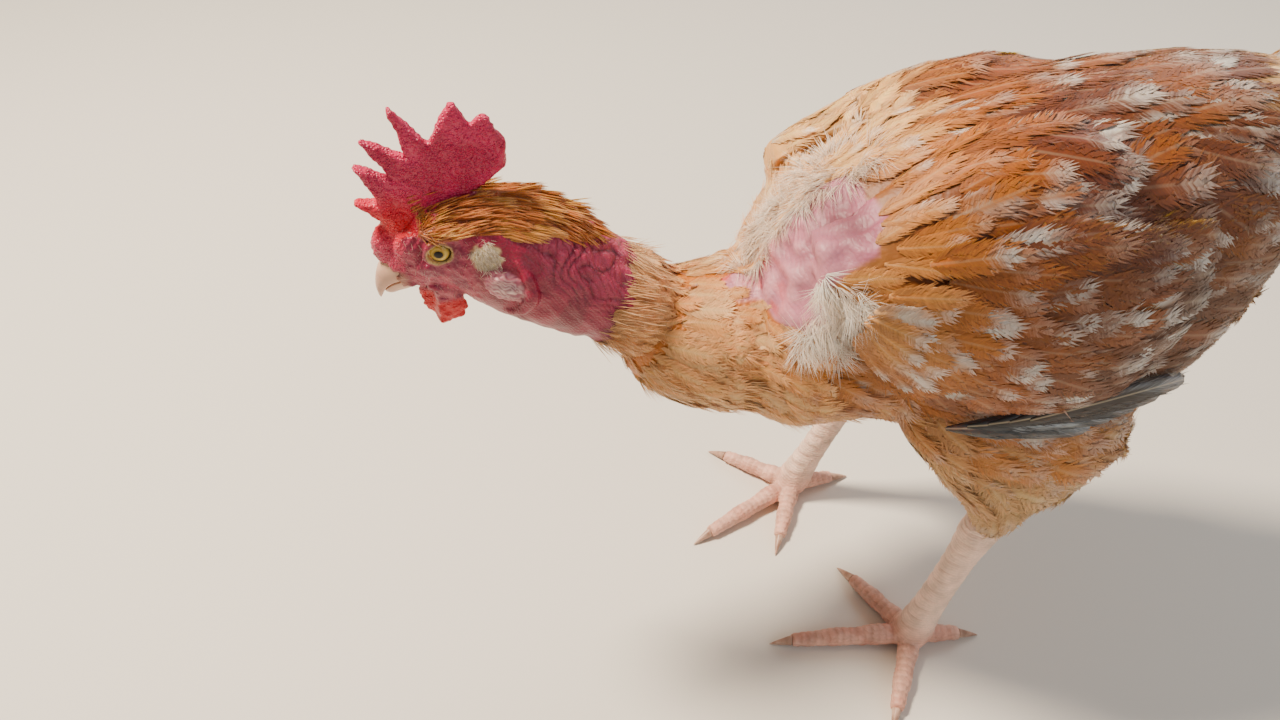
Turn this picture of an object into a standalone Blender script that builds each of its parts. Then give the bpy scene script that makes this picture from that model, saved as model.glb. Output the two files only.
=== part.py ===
# Naked neck hen, life size, standing with the head stretched low and forward.
# Metres, +Z up. The hen faces -Y and her left side is +X.
# She is modelled about the floor point midway between her feet, and at the end
# everything moves so that the origin is the bottom centre of the whole.

import math
import random

import bmesh
import bpy
import numpy as np
from mathutils import Matrix, Vector

MM = 0.001
GAP = 0.3 * MM
SEEDS = {"tuft": 71, "left": 72, "right": 73, "tail": 74}

# Torso stations from the neck to the rump, in mm:
# place along Y, height of the middle, half width, reach up, reach down.
TORSO = (
    (-66, 180, 36, 36, 38),
    (-52, 188, 47, 52, 52),
    (-25, 197, 55, 67, 64),
    (10, 201, 60, 78, 74),
    (50, 204, 62, 83, 80),
    (85, 209, 59, 82, 86),
    (112, 217, 52, 74, 83),
    (134, 229, 40, 58, 67),
    (148, 239, 23, 32, 38),
)
# The torso's sections are a little squarer than ellipses, whose power is 2.
TORSO_POWER = 2.35

# One line from the front of the torso to the root of the beak, in mm:
# place along Y, height, half width, reach up, reach down.
SPINE = (
    (-62, 178, 31, 30, 33),
    (-80, 177, 34, 29, 37),
    (-99, 182, 30, 26, 36),
    (-114, 191.5, 22.5, 21, 22),
    (-125, 199, 21, 20, 21),
    (-140, 208, 22, 23, 24),
    (-156, 218, 21, 25, 26),
    (-166, 222.5, 19.5, 25, 25),
    (-177, 225, 17, 23, 22.5),
    (-187, 224.5, 14.5, 20.5, 18.5),
    (-197, 220.5, 11, 15.5, 13),
    (-205.5, 215.5, 8, 9.5, 9),
)
# The stretches of that line that each node takes.
TUFT_SPAN, NECK_SPAN, HEAD_SPAN = (0, 3), (3, 6), (6, 11)

EYE_RADIUS = 5.2 * MM
EYE_PLACE = Vector((10.6, -188.5, 231.5)) * MM
EAR_PLACE = Vector((18.5, -171.5, 229.0)) * MM
LOBE_PLACE = Vector((19.6, -165.0, 216.5)) * MM
NOSTRIL_PLACE = Vector((6.6, -208.0, 217.6)) * MM

FOOT_LEFT = Vector((53, 26, 0)) * MM
FOOT_RIGHT = Vector((-53, -10, 0)) * MM
HOCK_LEFT = Vector((53, 42, 87)) * MM
HOCK_RIGHT = Vector((-52, 20, 87)) * MM

COLOURS = {
    "red_skin": "B5324A",
    "comb_red": "B8203F",
    "plumage": "B9763F",
    "buff": "D9A066",
    "horn": "D8B8A0",
    "shank_skin": "D9AC9C",
    "claw": "8A6A58",
    "lobe": "E3C3BE",
    "eye": "B9A03C",
    "slate": "4A4646",
}


def clear_scene():
    for item in list(bpy.data.objects):
        bpy.data.objects.remove(item, do_unlink=True)


def new_collection(name):
    made = bpy.data.collections.new(name)
    bpy.context.scene.collection.children.link(made)
    return made


def make_material(name, roughness):
    material = bpy.data.materials.new(name)
    material.use_nodes = True
    shader = material.node_tree.nodes["Principled BSDF"]
    code = COLOURS[name]
    channels = [int(code[i:i + 2], 16) / 255 for i in (0, 2, 4)]
    shader.inputs["Base Color"].default_value = [*(c ** 2.2 for c in channels), 1]
    shader.inputs["Roughness"].default_value = roughness
    return material


def add_mesh(name, points, faces, collection, material=None):
    mesh = bpy.data.meshes.new(name)
    mesh.from_pydata([tuple(p) for p in points], [], faces)
    item = bpy.data.objects.new(name, mesh)
    collection.objects.link(item)
    if material:
        mesh.materials.append(material)
    return item


def smooth_row(rows, place):
    """The row at this place, counted in rows, on a smooth curve through them all."""
    k = min(max(int(place), 0), len(rows) - 2)
    before = rows[k - 1] if k else 2 * rows[0] - rows[1]
    after = rows[k + 2] if k + 2 < len(rows) else 2 * rows[-1] - rows[-2]
    t = place - k
    a, b, c, d = before, rows[k], rows[k + 1], after
    return 0.5 * (2 * b + (c - a) * t + (2 * a - 5 * b + 4 * c - d) * t ** 2
                  + (3 * b - a - 3 * c + d) * t ** 3)


def smooth_rows(rows, count):
    rows = np.array(rows, float)
    return np.array([smooth_row(rows, place) for place in np.linspace(0, len(rows) - 1, count)])


def ring(centre, side, up, widths, segments, relief=None, power=2.0):
    """One closed section: widths are half width, reach up and reach down."""
    half, high, low = widths
    points = []
    for k in range(segments):
        angle = math.tau * k / segments
        c, s = (math.copysign(abs(f(angle)) ** (2 / power), f(angle)) for f in (math.cos, math.sin))
        scale = 1 + (relief(angle) if relief else 0)
        reach = high if s > 0 else low
        points.append(centre + side * (half * c * scale) + up * (reach * s * scale))
    return points


def loft(name, rings, collection, material=None):
    """A closed skin over a row of sections that have the same number of points."""
    count = len(rings[0])
    points = [p for section in rings for p in section]
    faces = []
    for r in range(len(rings) - 1):
        for k in range(count):
            n = (k + 1) % count
            a, b = r * count, (r + 1) * count
            faces.append((a + k, a + n, b + n, b + k))
    faces.append(tuple(reversed(range(count))))
    faces.append(tuple(range((len(rings) - 1) * count, len(rings) * count)))
    item = add_mesh(name, points, faces, collection, material)
    face_outwards(item)
    return item


def face_outwards(item):
    work = bmesh.new()
    work.from_mesh(item.data)
    bmesh.ops.recalc_face_normals(work, faces=work.faces)
    if work.calc_volume(signed=True) < 0:
        bmesh.ops.reverse_faces(work, faces=work.faces)
    work.to_mesh(item.data)
    work.free()


def spine_frame(rows, place):
    """Middle, unit vector along, unit vector up and the three reaches at this place."""
    rows = np.array(rows, float) * MM
    y, z, *widths = smooth_row(rows, place)
    step = 0.02
    low, high = max(place - step, 0), min(place + step, len(rows) - 1)
    before, after = smooth_row(rows, low), smooth_row(rows, high)
    along = Vector((0, after[0] - before[0], after[1] - before[1])).normalized()
    up = Vector((0, -along.z, along.y))
    return Vector((0, y, z)), along, up if up.z > 0 else -up, widths


def spine_rings(rows, span, count, segments, grow=0.0, relief=None):
    """Sections square to a line in the middle plane; the ends keep half the gap."""
    rings = []
    for k, place in enumerate(np.linspace(*span, count)):
        centre, along, up, widths = spine_frame(rows, place)
        if k in (0, count - 1):
            centre += along * ((1 if k else -1) * (2 * grow - GAP / 2))
        fold = (lambda angle, share=k / (count - 1): relief(angle, share)) if relief else None
        rings.append(ring(centre, Vector((1, 0, 0)), up, [w + grow for w in widths], segments, fold))
    return rings


def upright_rings(rows, count, segments, grow=0.0):
    """Upright sections along Y."""
    rings = []
    for k, (y, z, *widths) in enumerate(smooth_rows(rows, count) * MM):
        end = {0: -grow, count - 1: grow}.get(k, 0)
        rings.append(ring(Vector((0, y + end, z)), Vector((1, 0, 0)), Vector((0, 0, 1)),
                          [w + grow for w in widths], segments, None, TORSO_POWER))
    return rings


def limb_rings(rows, segments, grow=0.0):
    """Level sections down a limb: x, y, z, half width, reach ahead, reach behind."""
    rings = []
    for x, y, z, half, ahead, behind in rows:
        points = []
        for k in range(segments):
            angle = math.tau * k / segments
            c, s = math.cos(angle), math.sin(angle)
            reach = behind if s > 0 else ahead
            points.append(Vector((
                x + (half + grow) * c,
                y + (reach + grow) * s,
                z,
            )))
        rings.append(points)
    if grow:
        rings[0] = [p + Vector((0, 0, grow)) for p in rings[0]]
        rings[-1] = [p - Vector((0, 0, grow)) for p in rings[-1]]
    return rings


def ball(name, centre, radii, collection, segments=16, rows=10, turn=None):
    work = bmesh.new()
    bmesh.ops.create_uvsphere(work, u_segments=segments, v_segments=rows, radius=1)
    place = Matrix.Translation(centre) @ (turn or Matrix()) @ Matrix.Diagonal((*radii, 1))
    bmesh.ops.transform(work, matrix=place, verts=work.verts)
    mesh = bpy.data.meshes.new(name)
    work.to_mesh(mesh)
    work.free()
    item = bpy.data.objects.new(name, mesh)
    collection.objects.link(item)
    return item


def vane(root, along, out, length, width, thick, bend, helpers):
    """A flat tapered feather: thin, bent back towards the body by bend at its tip."""
    along = along.normalized()
    out = (out - along * out.dot(along)).normalized()
    across = along.cross(out)
    stations = ((0.0, 0.55), (0.45, 1.0), (0.82, 0.82), (1.0, 0.26))
    points = []
    for share, spread in stations:
        middle = root + along * (length * share) - out * (bend * share ** 2)
        half = width / 2 * spread
        depth = thick / 2 * (1 - 0.45 * share)
        for sign, rise in ((-1, -1), (1, -1), (1, 1), (-1, 1)):
            points.append(middle + across * (sign * half) + out * (rise * depth))
    faces = []
    for s in range(len(stations) - 1):
        a, b = 4 * s, 4 * (s + 1)
        # The upper and the lower face are split along the same diagonal.
        faces.append((a + 3, a + 2, b + 3))
        faces.append((a + 2, b + 2, b + 3))
        faces.append((a, b, a + 1))
        faces.append((a + 1, b, b + 1))
        faces.append((a + 1, b + 1, b + 2, a + 2))
        faces.append((a, a + 3, b + 3, b))
    faces.append((0, 1, 2, 3))
    end = 4 * (len(stations) - 1)
    faces.append((end + 3, end + 2, end + 1, end))
    item = add_mesh("vane", points, faces, helpers)
    face_outwards(item)
    return item


def apply_modifier(item, modifier):
    graph = bpy.context.evaluated_depsgraph_get()
    graph.update()
    made = bpy.data.meshes.new_from_object(item.evaluated_get(graph))
    item.modifiers.remove(modifier)
    old = item.data
    item.data = made
    bpy.data.meshes.remove(old)


def keep_largest(item):
    """Drops every closed surface of the mesh but the one that holds the most."""
    work = bmesh.new()
    work.from_mesh(item.data)
    bmesh.ops.remove_doubles(work, verts=work.verts, dist=0.0005 * MM)
    work.faces.ensure_lookup_table()
    left = set(work.faces)
    groups = []
    while left:
        group = {left.pop()}
        edge = list(group)
        while edge:
            near = {f for e in edge.pop().edges for f in e.link_faces} & left
            left -= near
            group |= near
            edge.extend(near)
        groups.append(group)

    def volume(group):
        total = 0.0
        for face in group:
            corners = [v.co for v in face.verts]
            for k in range(1, len(corners) - 1):
                total += corners[0].dot(corners[k].cross(corners[k + 1])) / 6
        return total

    keep = max(groups, key=volume)
    bmesh.ops.delete(work, geom=[f for f in work.faces if f not in keep], context="FACES")
    work.to_mesh(item.data)
    work.free()


def fuse(item, pieces, helpers):
    """One union of the item with all the pieces, which are then removed."""
    group = bpy.data.collections.new("pieces")
    helpers.children.link(group)
    for piece in pieces:
        for home in list(piece.users_collection):
            home.objects.unlink(piece)
        group.objects.link(piece)
    join = item.modifiers.new("join", "BOOLEAN")
    join.operation = "UNION"
    join.operand_type = "COLLECTION"
    join.collection = group
    join.solver = "MANIFOLD"
    apply_modifier(item, join)
    for piece in pieces:
        bpy.data.objects.remove(piece, do_unlink=True)
    bpy.data.collections.remove(group)
    keep_largest(item)


def cut(item, cutters):
    for cutter in cutters:
        knife = item.modifiers.new("cut", "BOOLEAN")
        knife.operation = "DIFFERENCE"
        knife.object = cutter
        knife.solver = "MANIFOLD"
        apply_modifier(item, knife)
    keep_largest(item)


def mirrored(side, vector):
    return Vector((side * vector.x, vector.y, vector.z))


# Torso


def torso_rings(grow=0.0):
    return upright_rings(TORSO, 14, 26, grow)


def make_torso(parts, paint):
    return loft("torso", torso_rings(), parts, paint["plumage"])


# Neck and its tuft


def neck_folds(angle, share):
    """Slanting wrinkles of the loose bare skin."""
    return 0.035 * math.sin(9 * share * math.pi + 2 * math.sin(angle)) * math.sin(share * math.pi)


def neck_rings(grow=0.0):
    return spine_rings(SPINE, NECK_SPAN, 15, 20, grow, neck_folds)


def make_neck(parts, paint):
    return loft("neck", neck_rings(), parts, paint["red_skin"])


def tuft_rings(grow=0.0):
    return spine_rings(SPINE, TUFT_SPAN, 7, 18, grow)


# Rows of the tuft's feathers: place on the line, number, length in mm.
TUFT_ROWS = ((2.85, 9, 25), (2.2, 10, 28), (1.35, 11, 30))


def make_tuft(parts, helpers, cutters, paint, draw):
    """A collar of vanes over a core; they lie back towards the body and are longest below."""
    core = loft("neck_tuft", tuft_rings(), parts, paint["buff"])
    pieces = []
    for row, (place, count, long) in enumerate(TUFT_ROWS):
        centre, along, up, (half, high, low) = spine_frame(SPINE, place)
        back = -along
        for k in range(count):
            angle = math.tau * (k + 0.5 * (row % 2)) / count - math.pi / 2
            rise = math.sin(angle)
            side = Vector((math.cos(angle), 0, 0))
            out = (side + up * rise).normalized()
            low_share = 0.5 - 0.5 * rise
            length = (long + 10 * low_share + draw.uniform(-3, 3)) * MM
            flare = 0.34 + (0.20 - 0.08 * row) * low_share + draw.uniform(-0.05, 0.05)
            lean = (back + out * flare).normalized()
            surface = centre + side * half + up * ((high if rise > 0 else low) * rise)
            root = surface - out * 1.6 * MM - lean * 3 * MM
            overlap = Matrix.Rotation(0.12, 3, lean)
            pieces.append(vane(root, lean, overlap @ out, length, draw.uniform(15, 18) * MM,
                               1.0 * MM, 4 * MM, helpers))
    fuse(core, pieces, helpers)
    cut(core, [cutters["torso"], cutters["neck"]])


# Head


def head_rings(grow=0.0):
    return spine_rings(SPINE, HEAD_SPAN, 10, 20, grow)


# The rim of the lids: radius of the ring and of its section.
LID_RADIUS, LID_THICK = 4.9 * MM, 1.5 * MM


def eyelids(eye, side):
    """A ring about the eye, stood upright and turned to face outwards."""
    bpy.ops.mesh.primitive_torus_add(
        major_segments=12, minor_segments=5, major_radius=LID_RADIUS, minor_radius=LID_THICK)
    lids = bpy.context.object
    lids.name = "lids"
    lids.data.transform(
        Matrix.Translation(eye + Vector((side * 3.0 * MM, 0, 0)))
        @ Matrix.Rotation(side * math.radians(84), 4, "Y")
        @ Matrix.Diagonal((0.86, 1.08, 1.1, 1))
    )
    return lids


def make_head(parts, helpers, cutters, paint):
    head = loft("head", head_rings(), parts, paint["red_skin"])
    pieces = []
    holes = []
    for side in (1, -1):
        eye = mirrored(side, EYE_PLACE)
        ear = mirrored(side, EAR_PLACE)
        brow = eye + Vector((side * 1.2, 2.0, 6.0)) * MM
        patch = ear - Vector((side * 2.6, 0, 0)) * MM
        cup = ear + Vector((side * 1.4, 0.5, 0)) * MM
        pieces.append(eyelids(eye, side))
        pieces.append(ball("brow", brow, Vector((4.2, 9.0, 3.0)) * MM, helpers, 10, 6))
        pieces.append(ball("ear", patch, Vector((3.6, 7.6, 6.6)) * MM, helpers, 10, 6))
        holes.append(ball("ear_cup", cup, Vector((2.2, 3.2, 2.6)) * MM, helpers, 8, 6))
        holes.append(ball("socket", eye, Vector((1, 1, 1)) * (EYE_RADIUS + GAP), helpers, 12, 8))
    fuse(head, pieces, helpers)
    cut(head, holes)
    for hole in holes:
        bpy.data.objects.remove(hole, do_unlink=True)


def make_eyes(parts, paint):
    for side, name in ((1, "eye_left"), (-1, "eye_right")):
        eye = ball(name, mirrored(side, EYE_PLACE), (EYE_RADIUS,) * 3, parts, 12, 8)
        eye.data.materials.append(paint["eye"])


# Beak, in steps from its root: distance ahead, drop of the middle line,
# half width, reach up, reach down, in mm.
BEAK_ROOT = Vector((0, -205.5, 215.5)) * MM
BEAK_SLOPE = math.radians(27)
BEAK_UPPER = (
    (-4, 0, 7.6, 8.6, 2.6),
    (0, 0, 7.4, 8.2, 2.4),
    (4, 0.4, 6.2, 7.2, 2.0),
    (8, 1.8, 4.6, 5.4, 2.0),
    (11.5, 4.2, 2.6, 3.2, 2.0),
    (13.4, 6.6, 0.7, 1.0, 1.0),
)
BEAK_LOWER = (
    (-4, 3.2, 6.4, 0.2, 4.6),
    (0, 3.2, 6.2, 0.2, 4.4),
    (4, 3.2, 5.0, 0.2, 3.6),
    (7.4, 4.4, 3.2, 0.2, 2.2),
    (9.6, 5.6, 1.0, 0.2, 0.8),
)


def beak_rings(rows, grow=0.0):
    ahead = Vector((0, -math.cos(BEAK_SLOPE), -math.sin(BEAK_SLOPE)))
    up = Vector((0, -math.sin(BEAK_SLOPE), math.cos(BEAK_SLOPE)))
    rings = []
    for k, (step, drop, *widths) in enumerate(rows):
        end = {0: -1, len(rows) - 1: 1}.get(k, 0) * 3 * grow
        centre = BEAK_ROOT + ahead * (GAP + step * MM + end) - up * (drop * MM)
        rings.append(ring(centre, Vector((1, 0, 0)), up, [w * MM + grow for w in widths], 14))
    return rings


def make_beak(parts, helpers, cutters, paint):
    """Both halves start on the flat front of the head; the line of the mouth parts them."""
    upper = loft("beak_upper", beak_rings(BEAK_UPPER), parts, paint["horn"])
    holes = [
        ball("nostril", mirrored(side, NOSTRIL_PLACE), Vector((1.6, 2.4, 1.2)) * MM, helpers, 8, 6)
        for side in (1, -1)
    ]
    cut(upper, [cutters["head"], *holes])
    for hole in holes:
        bpy.data.objects.remove(hole, do_unlink=True)
    lower = loft("beak_lower", beak_rings(BEAK_LOWER), parts, paint["horn"])
    cut(lower, [cutters["head"], cutters["beak"]])


# Comb: the tips and the notches between them, in mm along Y and up Z, from front to back.
COMB_TIPS = ((-218, 246), (-216.5, 261), (-212.5, 271), (-201.5, 283), (-179, 283), (-171, 277.5))
COMB_NOTCHES = ((-208.5, 245.5), (-202.5, 255), (-197, 263), (-189, 268), (-174.5, 276.5))
COMB_BACK = ((-162.5, 268), (-163, 258), (-172, 251), (-184, 243))
COMB_FRONT = ((-186, 232), (-200, 222), (-208, 222), (-212.5, 228), (-208, 237))
COMB_THICK, COMB_BEVEL = 4.6 * MM, 1.0 * MM


def comb_outline():
    """The outline as one closed row of points: each spike has a blunt tip."""
    row = []
    for k, tip in enumerate(COMB_TIPS):
        tip = Vector(tip)
        before = Vector(COMB_NOTCHES[k - 1]) if k else Vector(COMB_FRONT[-1])
        after = Vector(COMB_NOTCHES[k]) if k < len(COMB_NOTCHES) else Vector(COMB_BACK[0])
        blunt = 1.0 if k < 4 else 3.0
        row.append(tip + (before - tip).normalized() * blunt)
        row.append(tip + (after - tip).normalized() * blunt)
        if k < len(COMB_NOTCHES):
            row.append(after)
    row.extend(Vector(p) for p in COMB_BACK)
    row.extend(Vector(p) for p in COMB_FRONT)
    return row


def make_comb(parts, helpers, cutters, paint):
    curve = bpy.data.curves.new("comb", "CURVE")
    curve.dimensions = "2D"
    curve.fill_mode = "BOTH"
    curve.extrude = COMB_THICK / 2 - COMB_BEVEL
    curve.bevel_depth = COMB_BEVEL
    curve.bevel_resolution = 0
    spline = curve.splines.new("POLY")
    row = comb_outline()
    spline.points.add(len(row) - 1)
    for point, place in zip(spline.points, row):
        point.co = (place.x * MM, place.y * MM, 0, 1)
    spline.use_cyclic_u = True
    guide = bpy.data.objects.new("comb_guide", curve)
    helpers.objects.link(guide)
    bpy.context.view_layer.update()
    graph = bpy.context.evaluated_depsgraph_get()
    mesh = bpy.data.meshes.new_from_object(guide.evaluated_get(graph))
    bpy.data.objects.remove(guide, do_unlink=True)
    # The outline was drawn in the floor's plane, and stands up along Y and Z.
    work = bmesh.new()
    work.from_mesh(mesh)
    bmesh.ops.remove_doubles(work, verts=work.verts, dist=0.001 * MM)
    turn = Matrix(((0, 0, 1, 0), (1, 0, 0, 0), (0, 1, 0, 0), (0, 0, 0, 1)))
    bmesh.ops.transform(work, matrix=turn, verts=work.verts)
    work.to_mesh(mesh)
    work.free()
    comb = bpy.data.objects.new("comb", mesh)
    parts.objects.link(comb)
    comb.data.materials.append(paint["comb_red"])
    face_outwards(comb)
    front = ball("comb_front", Vector((0, -208, 227)) * MM, Vector((5.4, 6, 8)) * MM, helpers, 12, 8)
    fuse(comb, [front], helpers)
    cut(comb, [cutters["head"], cutters["beak"]])


def make_wattles_and_lobes(parts, helpers, cutters, paint):
    """A wattle is a flat fold with a bulb at its foot; an earlobe is a slanted oval."""
    hang = math.radians(12)
    slant = Matrix.Rotation(math.radians(-32), 4, "X")
    for side, word in ((1, "left"), (-1, "right")):
        turn = Matrix.Rotation(side * hang, 4, "Y")
        fold = Vector((side * 7.6, -191.5, 203.5)) * MM
        foot = Vector((side * 7.0, -194.0, 198.0)) * MM
        wattle = ball(f"wattle_{word}", fold, Vector((2.6, 8.0, 10.5)) * MM, parts, 12, 8, turn)
        wattle.data.materials.append(paint["comb_red"])
        bulb = ball("bulb", foot, Vector((2.9, 5.2, 5.0)) * MM, helpers, 10, 6, turn)
        fuse(wattle, [bulb], helpers)
        cut(wattle, [cutters["head"], cutters["beak"]])
        lobe = ball(f"earlobe_{word}", mirrored(side, LOBE_PLACE), Vector((3.0, 8.2, 4.8)) * MM,
                    parts, 14, 8, slant)
        lobe.data.materials.append(paint["lobe"])
        cut(lobe, [cutters["head"], cutters["neck"]])


# Wing: a curved shield over the flank, read by u from the shoulder back and v from the top edge down.
WING_FRONT, WING_LENGTH = -58, 152
WING_TOP = (247, 263, 274, 280, 281, 277, 268)
WING_LOW = (222, 197, 178, 167, 163, 168, 184)


def wing_edge(values, u):
    """Height of an edge in mm at the share u of the wing's length."""
    rows = smooth_rows([(v,) for v in values], 61)
    return float(rows[round(min(max(u, 0), 1) * 60)][0])


def wing_point(u, v, rise=0.0):
    top, low = wing_edge(WING_TOP, u), wing_edge(WING_LOW, u)
    arch = math.sin(math.pi * (0.10 + 0.66 * v))
    taper = 1 - 0.40 * abs(2 * u - 0.95) ** 2.6
    return Vector((
        31 + 42 * arch * taper + rise,
        WING_FRONT + WING_LENGTH * u,
        top + (low - top) * v,
    )) * MM


def wing_frame(u, v):
    """Point, direction back, direction down and direction outwards on the shield."""
    step = 0.02
    here = wing_point(u, v)
    back = (wing_point(u + step, v) - wing_point(u - step, v)).normalized()
    down = (wing_point(u, v + step) - wing_point(u, v - step)).normalized()
    out = down.cross(back).normalized()
    if out.x < 0:
        out = -out
    return here, back, down, out


# Rows of wing feathers from the shoulder back:
# place u, number, length mm, width mm, rise of the tips.
WING_ROWS = (
    (0.03, 4, 30, 19, 0.17),
    (0.16, 5, 33, 20, 0.16),
    (0.30, 6, 36, 20, 0.15),
    (0.45, 7, 40, 19, 0.14),
    (0.61, 7, 48, 20, 0.12),
    (0.81, 6, 56, 22, 0.06),
)
# The long quills under them, and how steeply the lowest one falls, in degrees.
PRIMARIES = 5
PRIMARY_FALL = 11
# How far the core lies under the shield: along its middle, and on its inner side, in mm.
WING_SKIN, WING_INNER = 3.5, 27


def wing_core_rings():
    rings = []
    stations = 11
    for k in range(stations):
        u = k / (stations - 1)
        shrink = 0.2 + 0.8 * math.sin(math.pi * (0.03 + 0.94 * u)) ** 0.5
        depth = WING_SKIN + 16 * (1 - shrink)
        section = []
        for v in np.linspace(0.5 - shrink / 2, 0.5 + shrink / 2, 9):
            section.append(wing_point(u, v, -depth - 3 * abs(2 * v - 1) ** 3))
        for v in np.linspace(0.5 + 0.45 * shrink, 0.5 - 0.45 * shrink, 5):
            section.append(wing_point(u, v, -WING_INNER))
        rings.append(section)
    return rings


def wing_vanes(helpers, draw):
    pieces = []
    for number, (u, count, long, wide, rise) in enumerate(WING_ROWS):
        stagger = 0.25 if number % 2 == 0 else -0.25
        for k in range(count):
            v = 0.06 + 0.86 * (k + 0.5 + stagger) / count
            here, back, down, out = wing_frame(u, v)
            fall = -0.12 + 0.34 * v + draw.uniform(-0.05, 0.05)
            along = (back + down * fall).normalized()
            lean = (along + out * (rise + draw.uniform(-0.02, 0.03))).normalized()
            overlap = Matrix.Rotation(0.10, 3, lean)
            root = here - out * 5.6 * MM - lean * 6 * MM
            pieces.append(vane(root, lean, overlap @ out, (long + draw.uniform(-4, 4)) * MM,
                               (wide + draw.uniform(-1.5, 1.5)) * MM, 1.0 * MM,
                               long * 0.07 * MM, helpers))
    for k in range(PRIMARIES):
        here, _, down, out = wing_frame(0.40 + 0.035 * k, 0.90 - 0.05 * k)
        fall = math.radians(PRIMARY_FALL - 2 * k)
        along = Vector((-0.06, math.cos(fall), -math.sin(fall)))
        root = here - out * (5.5 + 0.8 * k) * MM
        pieces.append(vane(root, along, out + down * 0.12, (76 + 2 * k) * MM, 13 * MM,
                           1.0 * MM, 1 * MM, helpers))
    return pieces


def make_wing(side, word, parts, helpers, cutters, paint, draw):
    """Both wings are built on the left, and the right one is mirrored before it is cut."""
    wing = loft(f"wing_{word}", wing_core_rings(), parts, paint["plumage"])
    fuse(wing, wing_vanes(helpers, draw), helpers)
    if side < 0:
        wing.data.transform(Matrix.Diagonal((-1, 1, 1, 1)))
        face_outwards(wing)
    cut(wing, [cutters["torso"], cutters[f"thigh_{word}"], cutters["neck_tuft"]])


# Tail


TAIL_ROOT = Vector((0, 130, 268)) * MM
# The fleshy core: place along Y, height, half width, reach up, reach down, in mm.
TAIL_CORE = ((112, 262, 24, 18, 20), (130, 268, 19, 15, 16), (146, 277, 13, 10, 11), (158, 285, 8, 6, 7))
TAIL_PAIRS = 7
# Rows of coverts over the root: distance back, length, in mm, and number to a side.
COVERT_ROWS = ((-2, 48, 3), (12, 54, 3))


def heading(spread, pitch, side):
    """Unit direction back, turned outwards by spread and up by pitch, in degrees."""
    spread, pitch = math.radians(spread), math.radians(pitch)
    return Vector((side * math.sin(spread) * math.cos(pitch),
                   math.cos(spread) * math.cos(pitch), math.sin(pitch)))


def tail_quills(side, helpers, draw):
    """The tail's long feathers stand like a tent: the middle pair on top, the rest below it."""
    pieces = []
    for k in range(TAIL_PAIRS):
        along = heading(3 + 4 * k, 42 - 4.4 * k, side)
        tent = math.radians(38 + 5 * k)
        out = Vector((side * math.sin(tent), -0.25, math.cos(tent)))
        root = TAIL_ROOT + Vector((side * (2.6 + 1.5 * k), 2 + 0.6 * k, 9 - 3.3 * k)) * MM
        pieces.append(vane(root, along, out, (108 - 3.5 * k + draw.uniform(-3, 3)) * MM,
                           25 * MM, 1.1 * MM, 6 * MM, helpers))
    return pieces


def tail_coverts(side, helpers, draw):
    pieces = []
    for back, long, count in COVERT_ROWS:
        centre = TAIL_ROOT + Vector((0, back, 0.55 * back + 1)) * MM
        narrow = 1 - 0.018 * back
        for k in range(count):
            tent = math.radians(16 + 36 * k)
            reach = Vector((side * 15 * math.sin(tent), 0, 12 * math.cos(tent))) * (narrow * MM)
            out = Vector((side * math.sin(tent), -0.3, math.cos(tent))).normalized()
            lean = (heading(4 + 7 * k, 38 - 12 * k, side) + out * 0.12).normalized()
            pieces.append(vane(centre + reach - lean * 6 * MM, lean, out,
                               (long + draw.uniform(-4, 4)) * MM, 19 * MM, 1.0 * MM, 3 * MM, helpers))
    return pieces


def make_tail(parts, helpers, cutters, paint, draw):
    tail = loft("tail", spine_rings(TAIL_CORE, (0, 3), 7, 14), parts, paint["slate"])
    pieces = []
    for side in (1, -1):
        pieces += tail_quills(side, helpers, draw)
        pieces += tail_coverts(side, helpers, draw)
    fuse(tail, pieces, helpers)
    cut(tail, [cutters["torso"]])


# Legs


def thigh_rows(side, hock):
    """The feathered thigh narrows from the flank down to the hock, in mm."""
    x, y, z = hock / MM
    return (
        (side * 44, 30, 178, 18, 46, 50),
        (side * 46, 31, 156, 19, 46, 62),
        (side * 48, 0.5 * (32 + y), 134, 18, 34, 58),
        (side * 50, 0.25 * 34 + 0.75 * y, 114, 14.5, 19, 39),
        (x, y, z + 13, 10, 10.5, 16),
        (x, y, z + 4, 7.6, 7.6, 8.0),
    )


def thigh_rings(side, hock, grow=0.0):
    return limb_rings(smooth_rows(thigh_rows(side, hock), 9) * MM, 16, grow)


def make_thigh(side, word, hock, parts, cutters, paint):
    thigh = loft(f"thigh_{word}", thigh_rings(side, hock), parts, paint["plumage"])
    cut(thigh, [cutters["torso"]])


# Shank: the joint's steps as share of the way down, half width and reach ahead, in mm.
HOCK_STEPS = ((0.0, 7.4, 8.2), (0.05, 7.8, 8.8), (0.12, 7.0, 8.0))
ANKLE_STEP = (1.0, 7.4, 8.4)
SCUTES = 9
ANKLE_HIGH = 12 * MM


def shank_steps():
    """Each scute widens downwards and ends in a step back to the next one."""
    steps = list(HOCK_STEPS)
    pitch = 0.80 / SCUTES
    for k in range(SCUTES):
        share = 0.15 + pitch * k
        waist = 1 - 0.16 * math.sin(math.pi * min(share * 1.15, 1))
        steps.append((share, 6.5 * waist, 7.5 * waist))
        steps.append((share + 0.86 * pitch, 6.3 * waist, 8.3 * waist))
    steps.append(ANKLE_STEP)
    return steps


def make_shank(word, hock, foot, parts, paint):
    """Bare lower leg: the joint at the top, then overlapping scutes down the front."""
    top = hock + Vector((0, 0, 4 * MM - GAP))
    axis = foot + Vector((0, 0, ANKLE_HIGH)) - top
    rows = []
    for share, half, ahead in shank_steps():
        centre = (top + axis * share) / MM
        rows.append((*centre, half, ahead, 1.03 * half))
    loft(f"shank_{word}", limb_rings(np.array(rows) * MM, 10), parts, paint["shank_skin"])


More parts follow.
